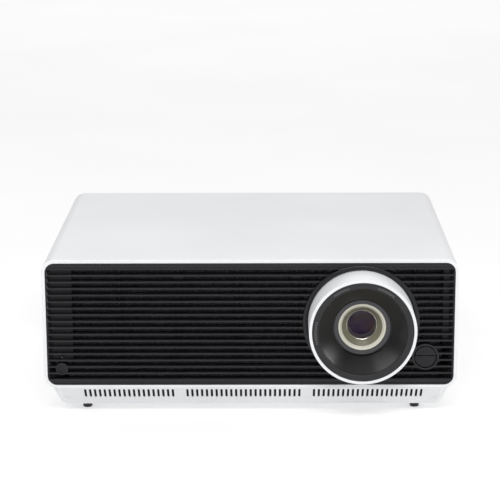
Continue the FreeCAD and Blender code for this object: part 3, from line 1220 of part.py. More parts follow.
def main_board():
    x0, x1 = X_OUT - BOARD_LEFT, X_OUT - BOARD_RIGHT
    y1 = PANEL_IN - BOARD_BACK_GAP
    y0 = y1 - MAIN_BOARD_D
    top = BOARD_Z + BOARD_T
    board = box(x0, x1, y0, y1, BOARD_Z, top)
    post_x = (x0 + BOARD_POST_IN, CHASSIS_X - 10)
    post_y = (y0 + BOARD_POST_IN, REAR_Y - CHASSIS_REAR - 22)
    posts = [cyl_z(x, y, BOARD_POST_R, BASE_Z, BOARD_Z) for x in post_x for y in post_y]
    first_x, chip_y = x0 + 40, y0 + 18
    chips = [box(first_x + index * CHIP_PITCH, first_x + index * CHIP_PITCH + CHIP, chip_y, chip_y + CHIP,
                 top, top + CHIP_T) for index in range(3)]
    return fuse_all([board] + posts + chips)


def power_supply():
    """Open tray of sheet with the supply's parts on it."""
    x0 = -X_OUT + SUPPLY_FROM_LEFT
    x1 = x0 + SUPPLY_W
    y1 = PANEL_BACK - INLET_L - 2
    y0 = y1 - SUPPLY_D
    shell = box(x0, x1, y0, y1, BASE_Z, BASE_Z + SUPPLY_H)
    shell = shell.cut(box(x0 + SUPPLY_WALL, x1 - SUPPLY_WALL, y0 + SUPPLY_WALL, y1 - SUPPLY_WALL,
                          BASE_Z + SUPPLY_WALL, BASE_Z + SUPPLY_H + 1))
    low = BASE_Z + 1
    parts = [box(x0 + 8, x0 + 8 + TRANSFORMER, y0 + 8, y0 + 8 + TRANSFORMER, low, low + 29),
             cyl_z(x0 + 58, y0 + 20, CAN_R, low, low + CAN_H), cyl_z(x0 + 80, y0 + 20, CAN_R, low, low + CAN_H),
             box(x0 + 48, x0 + 86, y0 + 40, y0 + 54, low, low + 25)]
    return fuse_all([shell] + parts)


def speaker_place():
    return -X_OUT + SPEAKER_FROM_LEFT, LENS_Z - SPEAKER_DROP


def speaker_frame():
    x, z = speaker_place()
    y1 = PANEL_IN - BOARD_BACK_GAP
    y0 = y1 - SPEAKER_DEPTH
    basket = tube_y(x, z, SPEAKER_R, SPEAKER_MOUTH_R, y0, y1)
    magnet = cyl_y(x, z, MAGNET_R, y0 - MAGNET_L, y0)
    back = tube_y(x, z, SPEAKER_R, MAGNET_R / 2, y0 - 2, y0)
    return fuse_all([basket, magnet, back])


def speaker_cone():
    """Paper cone with its rolled edge and dust cap."""
    x, z = speaker_place()
    rim = SPEAKER_MOUTH_R - 0.2
    y1 = PANEL_IN - 1.5
    return turned_y([(rim, y1), (rim - 1, y1 - 0.4), (6, y1 - 5), (0.0, y1 - 4), (0.0, y1 - 3.4), (6, y1 - 4.3),
                     (rim - 1.2, y1 + 0.3), (rim, y1 + 0.6)], x, z)


# ---------------------------------------------------------------- all the pieces
def build():
    fans = fan_centres()
    return {
        "upper_cover": upper_cover(), "base_tray": base_tray(), "front_grille": front_grille(),
        "air_filter": air_filter(), "lens_trim_ring": trim_ring(), "lens_collar": lens_collar(),
        "collar_screws": collar_screws(), "lens_bell": lens_bell(), "lens_barrel": lens_barrel(),
        "focus_ring": focus_ring(), "focus_cell": focus_cell(), "cone_baffle": cone_baffle(),
        "front_lens": front_lens(), "inner_baffle": inner_baffle(), "inner_lenses": inner_lenses(),
        "focus_pinion": focus_pinion(), "focus_motor": focus_motor(), "shift_carriage": shift_carriage(),
        "lens_frame": lens_frame(), "guide_rods": guide_rods(), "shift_idler": shift_idler(),
        "shift_dial": shift_dial(), "dial_surround": dial_surround(),
        "power_button": power_button(), "button_bezel": button_bezel(), "button_board": button_board(),
        "status_light": status_light(), "foot_pads": foot_pads(),
        "left_foot_screw": foot_screw(-FOOT_X, FRONT_FOOT_Y),
        "right_foot_screw": foot_screw(FOOT_X, FRONT_FOOT_Y), "rear_foot_studs": rear_foot_studs(),
        "machine_screws": machine_screws(), "mount_inserts": mount_inserts(),
        "chassis_plate": chassis_plate(), "fan_bracket": fan_bracket(),
        "fan_frames": group([fan_frame(*place) for place in fans]),
        "left_fan_rotor": fan_rotor(*fans[0]), "right_fan_rotor": fan_rotor(*fans[1]),
        "engine_housing": engine_housing(), "engine_lid": engine_lid(), "prism_block": prism_block(),
        "light_tunnel": light_tunnel(), "phosphor_wheel": phosphor_wheel(), "wheel_motor": wheel_motor(),
        "wheel_bracket": wheel_bracket(), "laser_module": laser_module(), "laser_heatsink": laser_heatsink(),
        "heat_pipes": heat_pipes(), "chip_board": chip_board(), "chip_heatsink": chip_heatsink(),
        "main_board": main_board(), "power_supply": power_supply(), "rear_panel": rear_panel(),
        "hdmi_sockets": sockets("hdmi"), "usb_socket": sockets("usb"), "lan_socket": sockets("lan"),
        "audio_jacks": audio_jacks(), "ac_inlet": ac_inlet(), "speaker_frame": speaker_frame(),
        "speaker_cone": speaker_cone(),
    }


os.makedirs("parts", exist_ok=True)
for node_name, node_shape in build().items():
    node_shape.exportStep("parts/" + node_name + ".step")
    solids = len(node_shape.Solids)
    print(node_name, solids, "solid(s)", "valid" if node_shape.isValid() else "INVALID", round(node_shape.Volume))
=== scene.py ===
# %% [markdown]
# # A home projector
# This lesson dresses a finished CAD model of a large home projector. The CAD parts keep their shapes and
# places. We give each one a procedural finish, and rebuild the pieces that need softer edges or finer
# detail than CAD shells carry: the louvred front, the white shells, the lens collar and its black bell, and
# the lens itself.
# %% Load the frame
import bpy
import bmesh
import math
from mathutils import Matrix, Vector


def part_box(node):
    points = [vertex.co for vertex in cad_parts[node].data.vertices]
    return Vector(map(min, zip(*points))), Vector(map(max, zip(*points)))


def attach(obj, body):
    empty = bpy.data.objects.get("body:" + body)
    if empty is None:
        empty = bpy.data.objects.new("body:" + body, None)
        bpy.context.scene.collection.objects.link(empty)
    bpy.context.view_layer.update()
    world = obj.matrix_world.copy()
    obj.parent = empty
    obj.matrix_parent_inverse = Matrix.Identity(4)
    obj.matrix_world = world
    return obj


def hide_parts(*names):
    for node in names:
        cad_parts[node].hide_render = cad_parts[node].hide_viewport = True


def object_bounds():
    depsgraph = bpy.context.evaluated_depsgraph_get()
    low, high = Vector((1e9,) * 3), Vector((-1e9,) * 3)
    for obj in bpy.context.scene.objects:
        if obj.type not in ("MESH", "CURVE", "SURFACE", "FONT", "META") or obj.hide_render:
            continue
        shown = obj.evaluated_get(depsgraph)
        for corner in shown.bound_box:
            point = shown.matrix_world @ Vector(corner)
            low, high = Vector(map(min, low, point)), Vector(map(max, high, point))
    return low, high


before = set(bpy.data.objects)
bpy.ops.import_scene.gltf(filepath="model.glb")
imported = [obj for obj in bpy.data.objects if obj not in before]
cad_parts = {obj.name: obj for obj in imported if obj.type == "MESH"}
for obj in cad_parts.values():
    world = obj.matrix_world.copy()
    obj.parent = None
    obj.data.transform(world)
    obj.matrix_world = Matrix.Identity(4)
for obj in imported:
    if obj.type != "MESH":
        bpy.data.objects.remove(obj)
cad_low, cad_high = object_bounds()
print("CAD box", [round(v, 4) for v in (*cad_low, *cad_high)])

# %% [markdown]
# ## Units and places
# Blender works in metres and the shop drawing in millimetres, so sizes are written as `8.5 * MM`. Places
# come from the boxes of CAD nodes, so a piece made here follows the CAD model when that changes.
# %% Measure the nodes
MM = 0.001


def place(node):
    """Lowest and highest corner of a CAD node."""
    return tuple(Vector(corner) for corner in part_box(node))


def depths(node):
    """How far back a CAD node starts and ends, in millimetres."""
    return [corner.y / MM for corner in place(node)]


ring_low, ring_high = place("lens_trim_ring")
grille_low, grille_high = place("front_grille")
lens_x, lens_z = (ring_low.x + ring_high.x) / 2, (ring_low.z + ring_high.z) / 2
front_y = grille_low.y
print("lens axis", round(lens_x, 4), round(lens_z, 4), "grille face", round(front_y, 4))

# %% [markdown]
# ## The camera
# The camera has a long lens, which keeps parallel edges nearly parallel. It stands about 1.7 m away, almost
# straight ahead, and looks down 13.6 degrees. The three angles become a rotation matrix whose columns are
# the camera's right, up and backward directions.
# %% Place the camera
CAMERA_AT = Vector((0.0149, -1.6972, 0.5355))
YAW, PITCH, ROLL = (math.radians(a) for a in (-0.54, 13.6, -0.24))
LENS_MM = 131.8

ahead = Vector((math.sin(YAW) * math.cos(PITCH), math.cos(YAW) * math.cos(PITCH), -math.sin(PITCH)))
level = Vector((math.cos(YAW), -math.sin(YAW), 0.0))
above = level.cross(ahead)
right = level * math.cos(ROLL) + above * math.sin(ROLL)
up = above * math.cos(ROLL) - level * math.sin(ROLL)
camera = bpy.data.objects.new("camera", bpy.data.cameras.new("camera"))
bpy.context.scene.collection.objects.link(camera)
camera.data.lens = LENS_MM
camera.data.sensor_width = 36.0
camera.matrix_world = Matrix.Translation(CAMERA_AT) @ Matrix((right, up, -ahead)).transposed().to_4x4()
bpy.context.scene.camera = camera
print("camera looks along", [round(v, 3) for v in ahead])

# %% [markdown]
# ## Colour and node helpers
# Paint charts give sRGB hex values, but shaders want linear light, so one function converts. One more adds
# a node with its settings and its inputs: a plain value is set on the socket, another node's output is
# linked.
# %% Helpers for colour and nodes
def srgb(code):
    parts = [int(code[i:i + 2], 16) / 255 for i in (0, 2, 4)]
    return tuple(p / 12.92 if p <= 0.04045 else ((p + 0.055) / 1.055) ** 2.4 for p in parts) + (1.0,)


def add(tree, kind, settings=None, inputs=None):
    node = tree.nodes.new(kind)
    for key, value in (settings or {}).items():
        setattr(node, key, value)
    for key, value in (inputs or {}).items():
        if isinstance(value, bpy.types.NodeSocket):
            tree.links.new(value, node.inputs[key])
        else:
            node.inputs[key].default_value = value
    return node


def material(name, **shader_values):
    """A node material with a Principled shader; the values are set on its own sockets."""
    made = bpy.data.materials.new(name)
    made.use_nodes = True
    tree = made.node_tree
    tree.nodes.clear()
    shader = add(tree, "ShaderNodeBsdfPrincipled", inputs=shader_values)
    add(tree, "ShaderNodeOutputMaterial", inputs={"Surface": shader.outputs["BSDF"]})
    return made, tree, shader


def grain_space(tree, stretch=(1, 1, 1)):
    """Object coordinates, stretched, so that one unit is one metre along each axis before the stretch."""
    here = add(tree, "ShaderNodeTexCoord").outputs["Object"]
    return add(tree, "ShaderNodeMapping", inputs={"Vector": here, "Scale": stretch}).outputs[0]


def two_tone(tree, value, dark, light, start=0.3, end=0.7):
    """A colour ramp between two hex colours."""
    ramp = add(tree, "ShaderNodeValToRGB", inputs={"Fac": value})
    ramp.color_ramp.elements[0].position, ramp.color_ramp.elements[1].position = start, end
    ramp.color_ramp.elements[0].color, ramp.color_ramp.elements[1].color = srgb(dark), srgb(light)
    return ramp.outputs["Color"]


def spread(tree, value, low, high):
    """Map a 0..1 value to a range."""
    return add(tree, "ShaderNodeMapRange", inputs={"Value": value, "To Min": low, "To Max": high}).outputs[0]


def bump(tree, height, depth, strength):
    """Relief whose full height is depth metres."""
    return add(tree, "ShaderNodeBump", inputs={"Height": height, "Distance": depth,
                                               "Strength": strength}).outputs["Normal"]


def link(tree, output, shader, socket):
    tree.links.new(output, shader.inputs[socket])


print("helpers ready")

# %% [markdown]
# ## Light and floor
# Small white goods look best on a light table: a sheet of white acrylic lit from below, so that no grey
# shadow eats the lower edges. A small bright softbox in front and above draws a line along every louvre,
# one low on the right puts a sheen in the lens bell, and a large weak one on the left opens the shadows.
# %% Build the studio
FLOOR_SIZE = 14.0


def softbox(name, at, aim, width, height, watts):
    light = bpy.data.lights.new(name, "AREA")
    light.shape = "RECTANGLE"
    light.size, light.size_y, light.energy = width, height, watts
    lamp = bpy.data.objects.new(name, light)
    bpy.context.scene.collection.objects.link(lamp)
    lamp.location = at
    lamp.rotation_mode = "QUATERNION"
    lamp.rotation_quaternion = (Vector(aim) - Vector(at)).to_track_quat("-Z", "Y")


softbox("overhead box", (0.1, -1.6, 1.5), (0, 0, 0.1), 1.3, 0.32, 25)
softbox("right box", (1.95, -0.36, 0.8), (0, 0, 0.08), 0.7, 0.8, 11)
softbox("left box", (-1.25, -0.3, 1.5), (0.05, -0.1, 0.1), 1.5, 1.5, 10)
softbox("backdrop box", (0.0, 3.6, 2.6), (0, 3.2, 0), 5.0, 3.0, 60)

world = bpy.data.worlds.new("studio air")
bpy.context.scene.world = world
world.use_nodes = True
air = world.node_tree.nodes["Background"]
air.inputs["Color"].default_value = srgb("F6F5F5")
air.inputs["Strength"].default_value = 0.40
bpy.context.scene.view_settings.view_transform = "Standard"

floor_mesh = bpy.data.meshes.new("light table")
half = FLOOR_SIZE / 2
corners = [(-half, -half, 0), (half, -half, 0), (half, half, 0), (-half, half, 0)]
floor_mesh.from_pydata(corners, [], [(0, 1, 2, 3)])
floor = bpy.data.objects.new("light table", floor_mesh)
bpy.context.scene.collection.objects.link(floor)
table_top, tree, shader = material("white acrylic light table", **{
    "Roughness": 0.85, "Specular IOR Level": 0.2, "Emission Color": srgb("FFFFFF"), "Emission Strength": 0.5})
haze = add(tree, "ShaderNodeTexNoise", inputs={"Vector": grain_space(tree), "Scale": 3.0, "Detail": 1.0})
link(tree, two_tone(tree, haze.outputs["Fac"], "BCBCBC", "C0C0C0"), shader, "Base Color")
floor_mesh.materials.append(table_top)

# %% [markdown]
# ## White ABS with a spark-eroded skin
# The sleeve, the tray and the collar are injection-moulded ABS. The mould is spark-eroded, which leaves a
# very fine even grain: it dulls the gloss without looking rough. The real grain is about 0.05 mm, too fine
# to see at this size, so it is drawn at 0.4 mm and very shallow. A faint slow colour drift stops it from
# looking computed.
# %% White ABS
def white_abs():
    made, tree, shader = material("white ABS, spark-eroded", IOR=1.5, Roughness=0.42)
    space = grain_space(tree)
    grain = add(tree, "ShaderNodeTexNoise", inputs={"Vector": space, "Scale": 2500.0, "Detail": 2.0})
    drift = add(tree, "ShaderNodeTexNoise", inputs={"Vector": space, "Scale": 9.0, "Detail": 2.0})
    link(tree, two_tone(tree, drift.outputs["Fac"], "E0E1E3", "E5E6E8"), shader, "Base Color")
    link(tree, spread(tree, grain.outputs["Fac"], 0.38, 0.50), shader, "Roughness")
    link(tree, bump(tree, grain.outputs["Fac"], 0.02 * MM, 0.5), shader, "Normal")
    return made


# %% [markdown]
# ## Black ABS
# The grille, the rear panel and the controls are the same plastic in black, from a slightly coarser mould.
# Black plastic shows its shape only by what it reflects, so its roughness varies a little across the
# surface. Two tones, a roughness range and a fine grain also describe the lens lacquers, the nylon parts,
# the speakers' paper and the printed ticks, so the same recipe makes those.
# %% Black ABS and black finishes
def black_plastic(name, dark, light, rough_low, rough_high, grain_mm=0.5, relief_mm=0.03, gloss=0.5):
    made, tree, shader = material(name, **{"IOR": 1.5, "Specular IOR Level": gloss})
    space = grain_space(tree)
    grain = add(tree, "ShaderNodeTexNoise", inputs={
        "Vector": space, "Scale": 1 / (grain_mm * MM), "Detail": 2.0})
    drift = add(tree, "ShaderNodeTexNoise", inputs={"Vector": space, "Scale": 30.0, "Detail": 3.0})
    link(tree, two_tone(tree, drift.outputs["Fac"], dark, light), shader, "Base Color")
    link(tree, spread(tree, grain.outputs["Fac"], rough_low, rough_high), shader, "Roughness")
    link(tree, bump(tree, grain.outputs["Fac"], relief_mm * MM, 0.4), shader, "Normal")
    return made


# %% [markdown]
# ## Metals
# Sheet steel has rolled streaks along one direction, castings have a sandy skin, and extruded fins have
# fine lines along their length. One recipe makes them all: a stretched noise drives both the tone and the
# roughness.
# %% Metals
def metal(name, dark, light, rough_low, rough_high, streaks=(1, 1, 1), grain_mm=0.8, relief_mm=0.02):
    made, tree, shader = material(name, Metallic=1.0)
    space = grain_space(tree, streaks)
    grain = add(tree, "ShaderNodeTexNoise", inputs={
        "Vector": space, "Scale": 1 / (grain_mm * MM), "Detail": 4.0})
    link(tree, two_tone(tree, grain.outputs["Fac"], dark, light), shader, "Base Color")
    link(tree, spread(tree, grain.outputs["Fac"], rough_low, rough_high), shader, "Roughness")
    link(tree, bump(tree, grain.outputs["Fac"], relief_mm * MM, 0.5), shader, "Normal")
    return made


# %% [markdown]
# ## Coated glass
# Projector lenses carry anti-reflection coatings that leave only a weak violet reflection. A thin film on
# the glass does exactly that; a slow noise varies the film's thickness, in nanometres, across the surface.
# %% Coated glass
def coated_glass(name, tint, film_low, film_high):
    made, tree, shader = material(name, **{"Base Color": srgb(tint), "Roughness": 0.02, "IOR": 1.6,
                                           "Transmission Weight": 1.0, "Thin Film IOR": 1.28})
    film = add(tree, "ShaderNodeTexNoise", inputs={"Vector": grain_space(tree), "Scale": 25.0, "Detail": 1.0})
    link(tree, spread(tree, film.outputs["Fac"], film_low, film_high), shader, "Thin Film Thickness")
    return made


# %% [markdown]
# ## Open-cell foam, rubber and a circuit board
# Foam is a field of small round pores, which a Voronoi texture draws. Rubber has a dusty sheen. A circuit
# board is green lacquer over copper tracks: a brick pattern of thin lines stands in for the tracks.
# %% Foam, rubber and circuit board
def foam():
    made, tree, shader = material("open-cell foam", Roughness=0.95)
    pores = add(tree, "ShaderNodeTexVoronoi", inputs={"Vector": grain_space(tree), "Scale": 700.0})
    link(tree, two_tone(tree, pores.outputs["Distance"], "78767F", "45434C", 0.1, 0.6), shader, "Base Color")
    link(tree, bump(tree, pores.outputs["Distance"], 0.5 * MM, 1.0), shader, "Normal")
    return made


def rubber():
    made, tree, shader = material("moulded rubber", **{"Sheen Weight": 0.3, "Sheen Roughness": 0.5})
    dust = add(tree, "ShaderNodeTexNoise", inputs={
        "Vector": grain_space(tree), "Scale": 900.0, "Detail": 4.0})
    link(tree, two_tone(tree, dust.outputs["Fac"], "232325", "2E2E31"), shader, "Base Color")
    link(tree, spread(tree, dust.outputs["Fac"], 0.65, 0.85), shader, "Roughness")
    link(tree, bump(tree, dust.outputs["Fac"], 0.05 * MM, 0.6), shader, "Normal")
    return made


def circuit_board():
    made, tree, shader = material("green circuit board", IOR=1.5, Roughness=0.35)
    tracks = add(tree, "ShaderNodeTexBrick", {"offset": 0.37}, {
        "Vector": grain_space(tree), "Scale": 90.0, "Mortar Size": 0.06, "Color1": srgb("0E4A2A"),
        "Color2": srgb("0C4426"), "Mortar": srgb("2C7A3E")})
    link(tree, tracks.outputs["Color"], shader, "Base Color")
    link(tree, bump(tree, tracks.outputs["Fac"], 0.05 * MM, 0.5), shader, "Normal")
    return made


# %% [markdown]
# ## Dress the CAD nodes
# Each finish is made once and put on the material slot of every CAD node that has it.
# %% Finishes by node
white = white_abs()
grille_black = black_plastic("black ABS, satin mould", "151518", "19191D", 0.24, 0.32, gloss=0.36)
panel_black = black_plastic("black ABS, coarse mould", "1D1D1F", "242427", 0.45, 0.6, 0.8, 0.06)
bell_satin = black_plastic("satin black lacquer", "111113", "141416", 0.29, 0.33, 0.4, 0.01, gloss=0.7)
rim_matte = black_plastic("matte black lacquer", "242426", "28282A", 0.5, 0.6, 0.4, 0.02, gloss=0.35)
barrel_black = black_plastic("black anodised barrel", "3A3A3D", "424245", 0.42, 0.5, 0.4, 0.015, gloss=0.5)
baffle_dark = black_plastic("dark baffle paint", "38343D", "464150", 0.3, 0.42, 0.3, 0.02)
control_black = black_plastic("black ABS, fine mould", "19191D", "1E1E22", 0.34, 0.42, 0.35, 0.015,
                              gloss=0.25)
smoked = black_plastic("smoked light guide", "08080A", "0B0B0D", 0.12, 0.2, 0.6, 0.005)
fan_plastic = black_plastic("glass-filled black nylon", "131314", "1A1A1B", 0.45, 0.6, 0.6, 0.04)
foot_plastic = black_plastic("dark nylon foot", "2B2B2E", "333336", 0.4, 0.55, 0.5, 0.03)
socket_plastic = black_plastic("black socket plastic", "0E0E0F", "151516", 0.3, 0.45, 0.6, 0.02)
speaker_paper = black_plastic("pressed paper cone", "121212", "1C1B1A", 0.8, 0.95, 0.9, 0.1)
nylon = black_plastic("natural nylon", "D9D4C4", "E4DFD0", 0.4, 0.5, 0.6, 0.02)
pale_cone = black_plastic("pale satin cone lacquer", "CDCBBC", "D6D4C6", 0.28, 0.38, 0.3, 0.01)
sheet_steel = metal("galvanised sheet steel", "8C9094", "B4B8BB", 0.3, 0.5, (1, 0.2, 1), 3.0)
zinc_screw = metal("zinc-plated screw steel", "A9ACB0", "C9CCD0", 0.2, 0.35)
ground_rod = metal("ground steel rod", "B4B6B8", "C8CACC", 0.12, 0.2, (8, 8, 0.3))
drawn_can = metal("drawn steel can", "8A8B8D", "A8A9AB", 0.25, 0.4, (1, 0.1, 1))
cast_metal = metal("die-cast magnesium", "6F7174", "86888B", 0.45, 0.6, grain_mm=1.2, relief_mm=0.08)
fin_metal = metal("extruded aluminium", "BFC2C5", "D5D8DA", 0.25, 0.4, (1, 1, 0.05))
block_metal = metal("black anodised block", "2A2A2D", "3A3A3D", 0.3, 0.45)
copper = metal("bare copper", "B4693F", "C98355", 0.25, 0.4, (0.2, 1, 1))
brass = metal("turned brass", "B08D45", "CDAA5E", 0.2, 0.35, (1, 1, 6), 0.4)
nickel = metal("nickel plate", "A7A39A", "C6C2B8", 0.2, 0.32, (1, 0.3, 1), 1.0)
phosphor = metal("phosphor-coated disc", "C9B23A", "E3CF5A", 0.45, 0.6)
mirror = metal("mirror glass strip", "D8DCE0", "E6E9EC", 0.04, 0.08)
front_glass = coated_glass("coated front glass", "F2F6F6", 105.0, 125.0)
inner_glass = coated_glass("coated inner glass", "E8ECF2", 118.0, 136.0)
prism_glass = coated_glass("prism glass", "F2F6F7", 100.0, 140.0)
foam_black = foam()
foot_rubber = rubber()
board_green = circuit_board()

FINISHES = {
    white: ("upper_cover", "base_tray", "lens_collar"),
    grille_black: ("front_grille", "lens_trim_ring", "dial_surround", "button_bezel"),
    bell_satin: ("lens_bell",), barrel_black: ("lens_barrel",), control_black: ("shift_dial", "power_button"),
    pale_cone: ("cone_baffle",), baffle_dark: ("inner_baffle", "focus_cell"), front_glass: ("front_lens",),
    inner_glass: ("inner_lenses",), prism_glass: ("prism_block",), foam_black: ("air_filter",),
    foot_rubber: ("foot_pads",), foot_plastic: ("left_foot_screw", "right_foot_screw", "rear_foot_studs"),
    zinc_screw: ("machine_screws", "collar_screws"), ground_rod: ("guide_rods",),
    sheet_steel: ("chassis_plate", "fan_bracket", "wheel_bracket", "power_supply"), brass: ("mount_inserts",),
    nylon: ("focus_ring", "focus_pinion", "shift_idler"),
    cast_metal: ("shift_carriage", "lens_frame", "engine_housing", "engine_lid", "speaker_frame"),
    fin_metal: ("laser_heatsink", "chip_heatsink"), block_metal: ("laser_module",), copper: ("heat_pipes",),
    fan_plastic: ("fan_frames", "left_fan_rotor", "right_fan_rotor"),
    board_green: ("main_board", "button_board", "chip_board"), panel_black: ("rear_panel",),
    nickel: ("hdmi_sockets", "usb_socket", "lan_socket"), socket_plastic: ("audio_jacks", "ac_inlet"),
    drawn_can: ("focus_motor", "wheel_motor"), phosphor: ("phosphor_wheel",), mirror: ("light_tunnel",),
    speaker_paper: ("speaker_cone",), smoked: ("status_light",),
}
dressed = 0
for finish, nodes in FINISHES.items():
    for node in nodes:
        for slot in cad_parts[node].material_slots:
            slot.material = finish
        dressed += 1
print("dressed", dressed, "of", len(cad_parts), "nodes")

# %% [markdown]
# ## Turned pieces
# The lens is a stack of turned and moulded rings. Each one here is a lathe profile: a closed list of points
# (radius, depth, rounding) in the plane of the axis. Every corner gets a small arc, because no moulded or
# turned edge is razor sharp, and that arc is what catches the light. The profile is then swung once round
# the lens axis.
# %% The lathe
LONGEST_EASE = 0.45
SHORTEST_EASE_MM = 0.02
WELD = 1e-6


def eased(profile, steps):
    """Turn each corner (radius, depth, rounding) of a closed profile into a short arc; in millimetres."""
    points = []
    count = len(profile)
    for i, (r, y, ease) in enumerate(profile):
        here = Vector((r, y))
        to_last = Vector(profile[i - 1][:2]) - here
        to_next = Vector(profile[(i + 1) % count][:2]) - here
        reach = min(ease, to_last.length * LONGEST_EASE, to_next.length * LONGEST_EASE)
        if reach < SHORTEST_EASE_MM:
            points.append(here)
            continue
        start, end = here + to_last.normalized() * reach, here + to_next.normalized() * reach
        for k in range(steps + 1):
            t = k / steps
            points.append(start * (1 - t) ** 2 + here * 2 * t * (1 - t) + end * t ** 2)
    return points


def piece(name, verts, faces, body, finish, smooth_deg):
    """A mesh object from lists, with its normals made consistent, riding on a body."""
    mesh = bpy.data.meshes.new(name)
    mesh.from_pydata(verts, [], faces)
    shape = bmesh.new()
    shape.from_mesh(mesh)
    bmesh.ops.remove_doubles(shape, verts=shape.verts, dist=WELD)
    bmesh.ops.recalc_face_normals(shape, faces=shape.faces)
    shape.to_mesh(mesh)
    shape.free()
    mesh.materials.append(finish)
    mesh.shade_smooth()
    mesh.set_sharp_from_angle(angle=math.radians(smooth_deg))
    made = bpy.data.objects.new(name, mesh)
    bpy.context.scene.collection.objects.link(made)
    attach(made, body)
    return made


def lathe(name, profile, body, finish, around=160, smooth_deg=35, steps=4):
    """Swing a closed profile of (radius, depth, rounding) once round the lens axis."""
    ring = eased(profile, steps)
    verts, faces = [], []
    for a in range(around):
        angle = 2 * math.pi * a / around
        c, s = math.cos(angle), math.sin(angle)
        verts += [(lens_x + p.x * MM * c, p.y * MM, lens_z + p.x * MM * s) for p in ring]
    n = len(ring)
    for a in range(around):
        b = (a + 1) % around
        faces += [(a * n + i, a * n + (i + 1) % n, b * n + (i + 1) % n, b * n + i) for i in range(n)]
    return piece(name, verts, faces, body, finish, smooth_deg)


# %% [markdown]
# ## Collar and trim ring
# The collar is a plain white tube that guards the lens. Its front lip is rounded on both sides. The black
# trim ring behind it closes the gap to the louvres, and has a shallow step that shows as a second thin
# circle.
# %% Lathe the collar and the trim ring
COLLAR_R, COLLAR_IN, FLANGE_R, FLANGE_T = 47.3, 44.7, 53.4, 3.0
edge_y, collar_back = depths("lens_collar")
flange_y = collar_back - FLANGE_T
collar = lathe("lens_collar_turned", [
    (COLLAR_R, edge_y, 0.55), (COLLAR_R, flange_y, 0.4), (FLANGE_R, flange_y, 0.3),
    (FLANGE_R, collar_back, 0.3), (COLLAR_IN, collar_back, 0.2), (COLLAR_IN, edge_y, 0.5)], "casing", white)
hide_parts("lens_collar")

ring_front, ring_back = depths("lens_trim_ring")
trim = lathe("lens_trim_turned", [
    (51.95, ring_front + 0.35, 0.3), (51.95, ring_back, 0.2), (47.65, ring_back, 0.2),
    (47.65, ring_front + 1.6, 0.2), (48.8, ring_front + 0.1, 0.3), (49.4, ring_front, 0.2),
    (51.3, ring_front, 0.3)], "casing", grille_black)
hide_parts("lens_trim_ring")
print("collar", len(collar.data.polygons), "faces, trim ring", len(trim.data.polygons))

# %% [markdown]
# ## The bell
# Inside the collar sits a black bell that keeps stray light off the glass. Its outer rim is flat and matte,
# then a fine step leads to a straight satin cone, which ends in a rolled edge round the lens opening.
# %% Lathe the bell
RIM_INNER_R, RIM_DEPTH = 39.3, 0.3
rim_y = depths("lens_bell")[0]
bell = lathe("lens_bell_turned", [
    (44.62, rim_y + 0.1, 0.35), (44.62, rim_y + 22.0, 0.2),
    (43.1, rim_y + 22.0, 0.2), (43.1, rim_y + 5.0, 0.4),
    (27.4, rim_y + 16.6, 0.5), (26.15, rim_y + 16.6, 0.4), (26.15, rim_y + 14.9, 0.55),
    (38.7, rim_y + 1.25, 0.3), (39.2, rim_y + 0.25, 0.25), (39.7, rim_y, 0.25)], "casing", bell_satin)
bell.data.materials.append(rim_matte)
for face in bell.data.polygons:
    reach = math.hypot(face.center.x - lens_x, face.center.z - lens_z) / MM
    if reach > RIM_INNER_R and face.center.y / MM < rim_y + RIM_DEPTH:
        face.material_index = 1
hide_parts("lens_bell")
print("bell", len(bell.data.polygons), "faces")

# %% [markdown]
# ## Pale lip and stepped wall
# The lens's first element sits behind a lacquered cone. Its mouth is a pale rounded lip. The wall behind is a
# darker olive: partly its own lacquer, partly painted shade for its depth behind the lip. Fine steps are
# turned into it that stop light from skidding along it. They show as rings below the glass.
# %% Lathe the lip and the stepped wall
STAIRS, STAIR_TOP_R, STAIR_END_R = 7, 17.85, 14.0
SHELF_AHEAD = 4.0
cone_y, cone_back = depths("cone_baffle")
stair_y = cone_y + 2.6
shelf_y = depths("front_lens")[1] - SHELF_AHEAD
lip = [(21.25, cone_y + 0.9, 0.4), (20.9, cone_y, 0.5), (19.9, cone_y + 0.2, 0.6), (17.9, cone_y + 2.4, 0.3),
       (17.9, cone_y + 3.0, 0.1), (21.25, cone_y + 3.0, 0.1)]
cone = lathe("pale_lip_turned", lip, "focus_unit", pale_cone, steps=3)
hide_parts("cone_baffle")
rise, fall = (shelf_y - stair_y) / STAIRS, (STAIR_TOP_R - STAIR_END_R) / STAIRS
wall = [(21.25, cone_y + 3.0, 0.1), (18.0, cone_y + 2.7, 0.1)]
for k in range(STAIRS):
    wall += [(STAIR_TOP_R - fall * k, stair_y + rise * k, 0.12),
             (STAIR_TOP_R - 0.15 - fall * k, stair_y + rise * (k + 0.75), 0.12)]
wall += [(13.85, shelf_y, 0.15), (13.85, cone_back, 0.1), (21.25, cone_back, 0.1)]
# The wall's olive is darker than the lip's lacquer: partly its own colour, partly painted shade for the depth
# of the cone.
olive_lacquer_and_painted_shade = black_plastic("olive anti-glare lacquer and painted shade", "6B6957", "7C7A66", 0.3, 0.38, 0.3, 0.01, gloss=0.5)
steps_wall = lathe("stepped_wall_turned", wall, "focus_unit", olive_lacquer_and_painted_shade, steps=3)
print("lip", len(cone.data.polygons), "faces, stepped wall", len(steps_wall.data.polygons))

# %% [markdown]
# ## Retaining ring and inner baffle
# A nickel-plated ring holds the front glass. The dark baffle behind it is threaded: its fine ribs face the
# glass and look like thin rings when light falls in.
# %% Lathe the retaining ring and the threaded baffle
keeper = lathe("glass_retaining_ring", [
    (13.95, shelf_y - 0.5, 0.1), (13.95, shelf_y + 0.2, 0.1), (13.0, shelf_y - 0.1, 0.1),
    (13.0, shelf_y - 0.45, 0.1), (13.45, shelf_y - 0.7, 0.12)], "focus_unit", nickel)

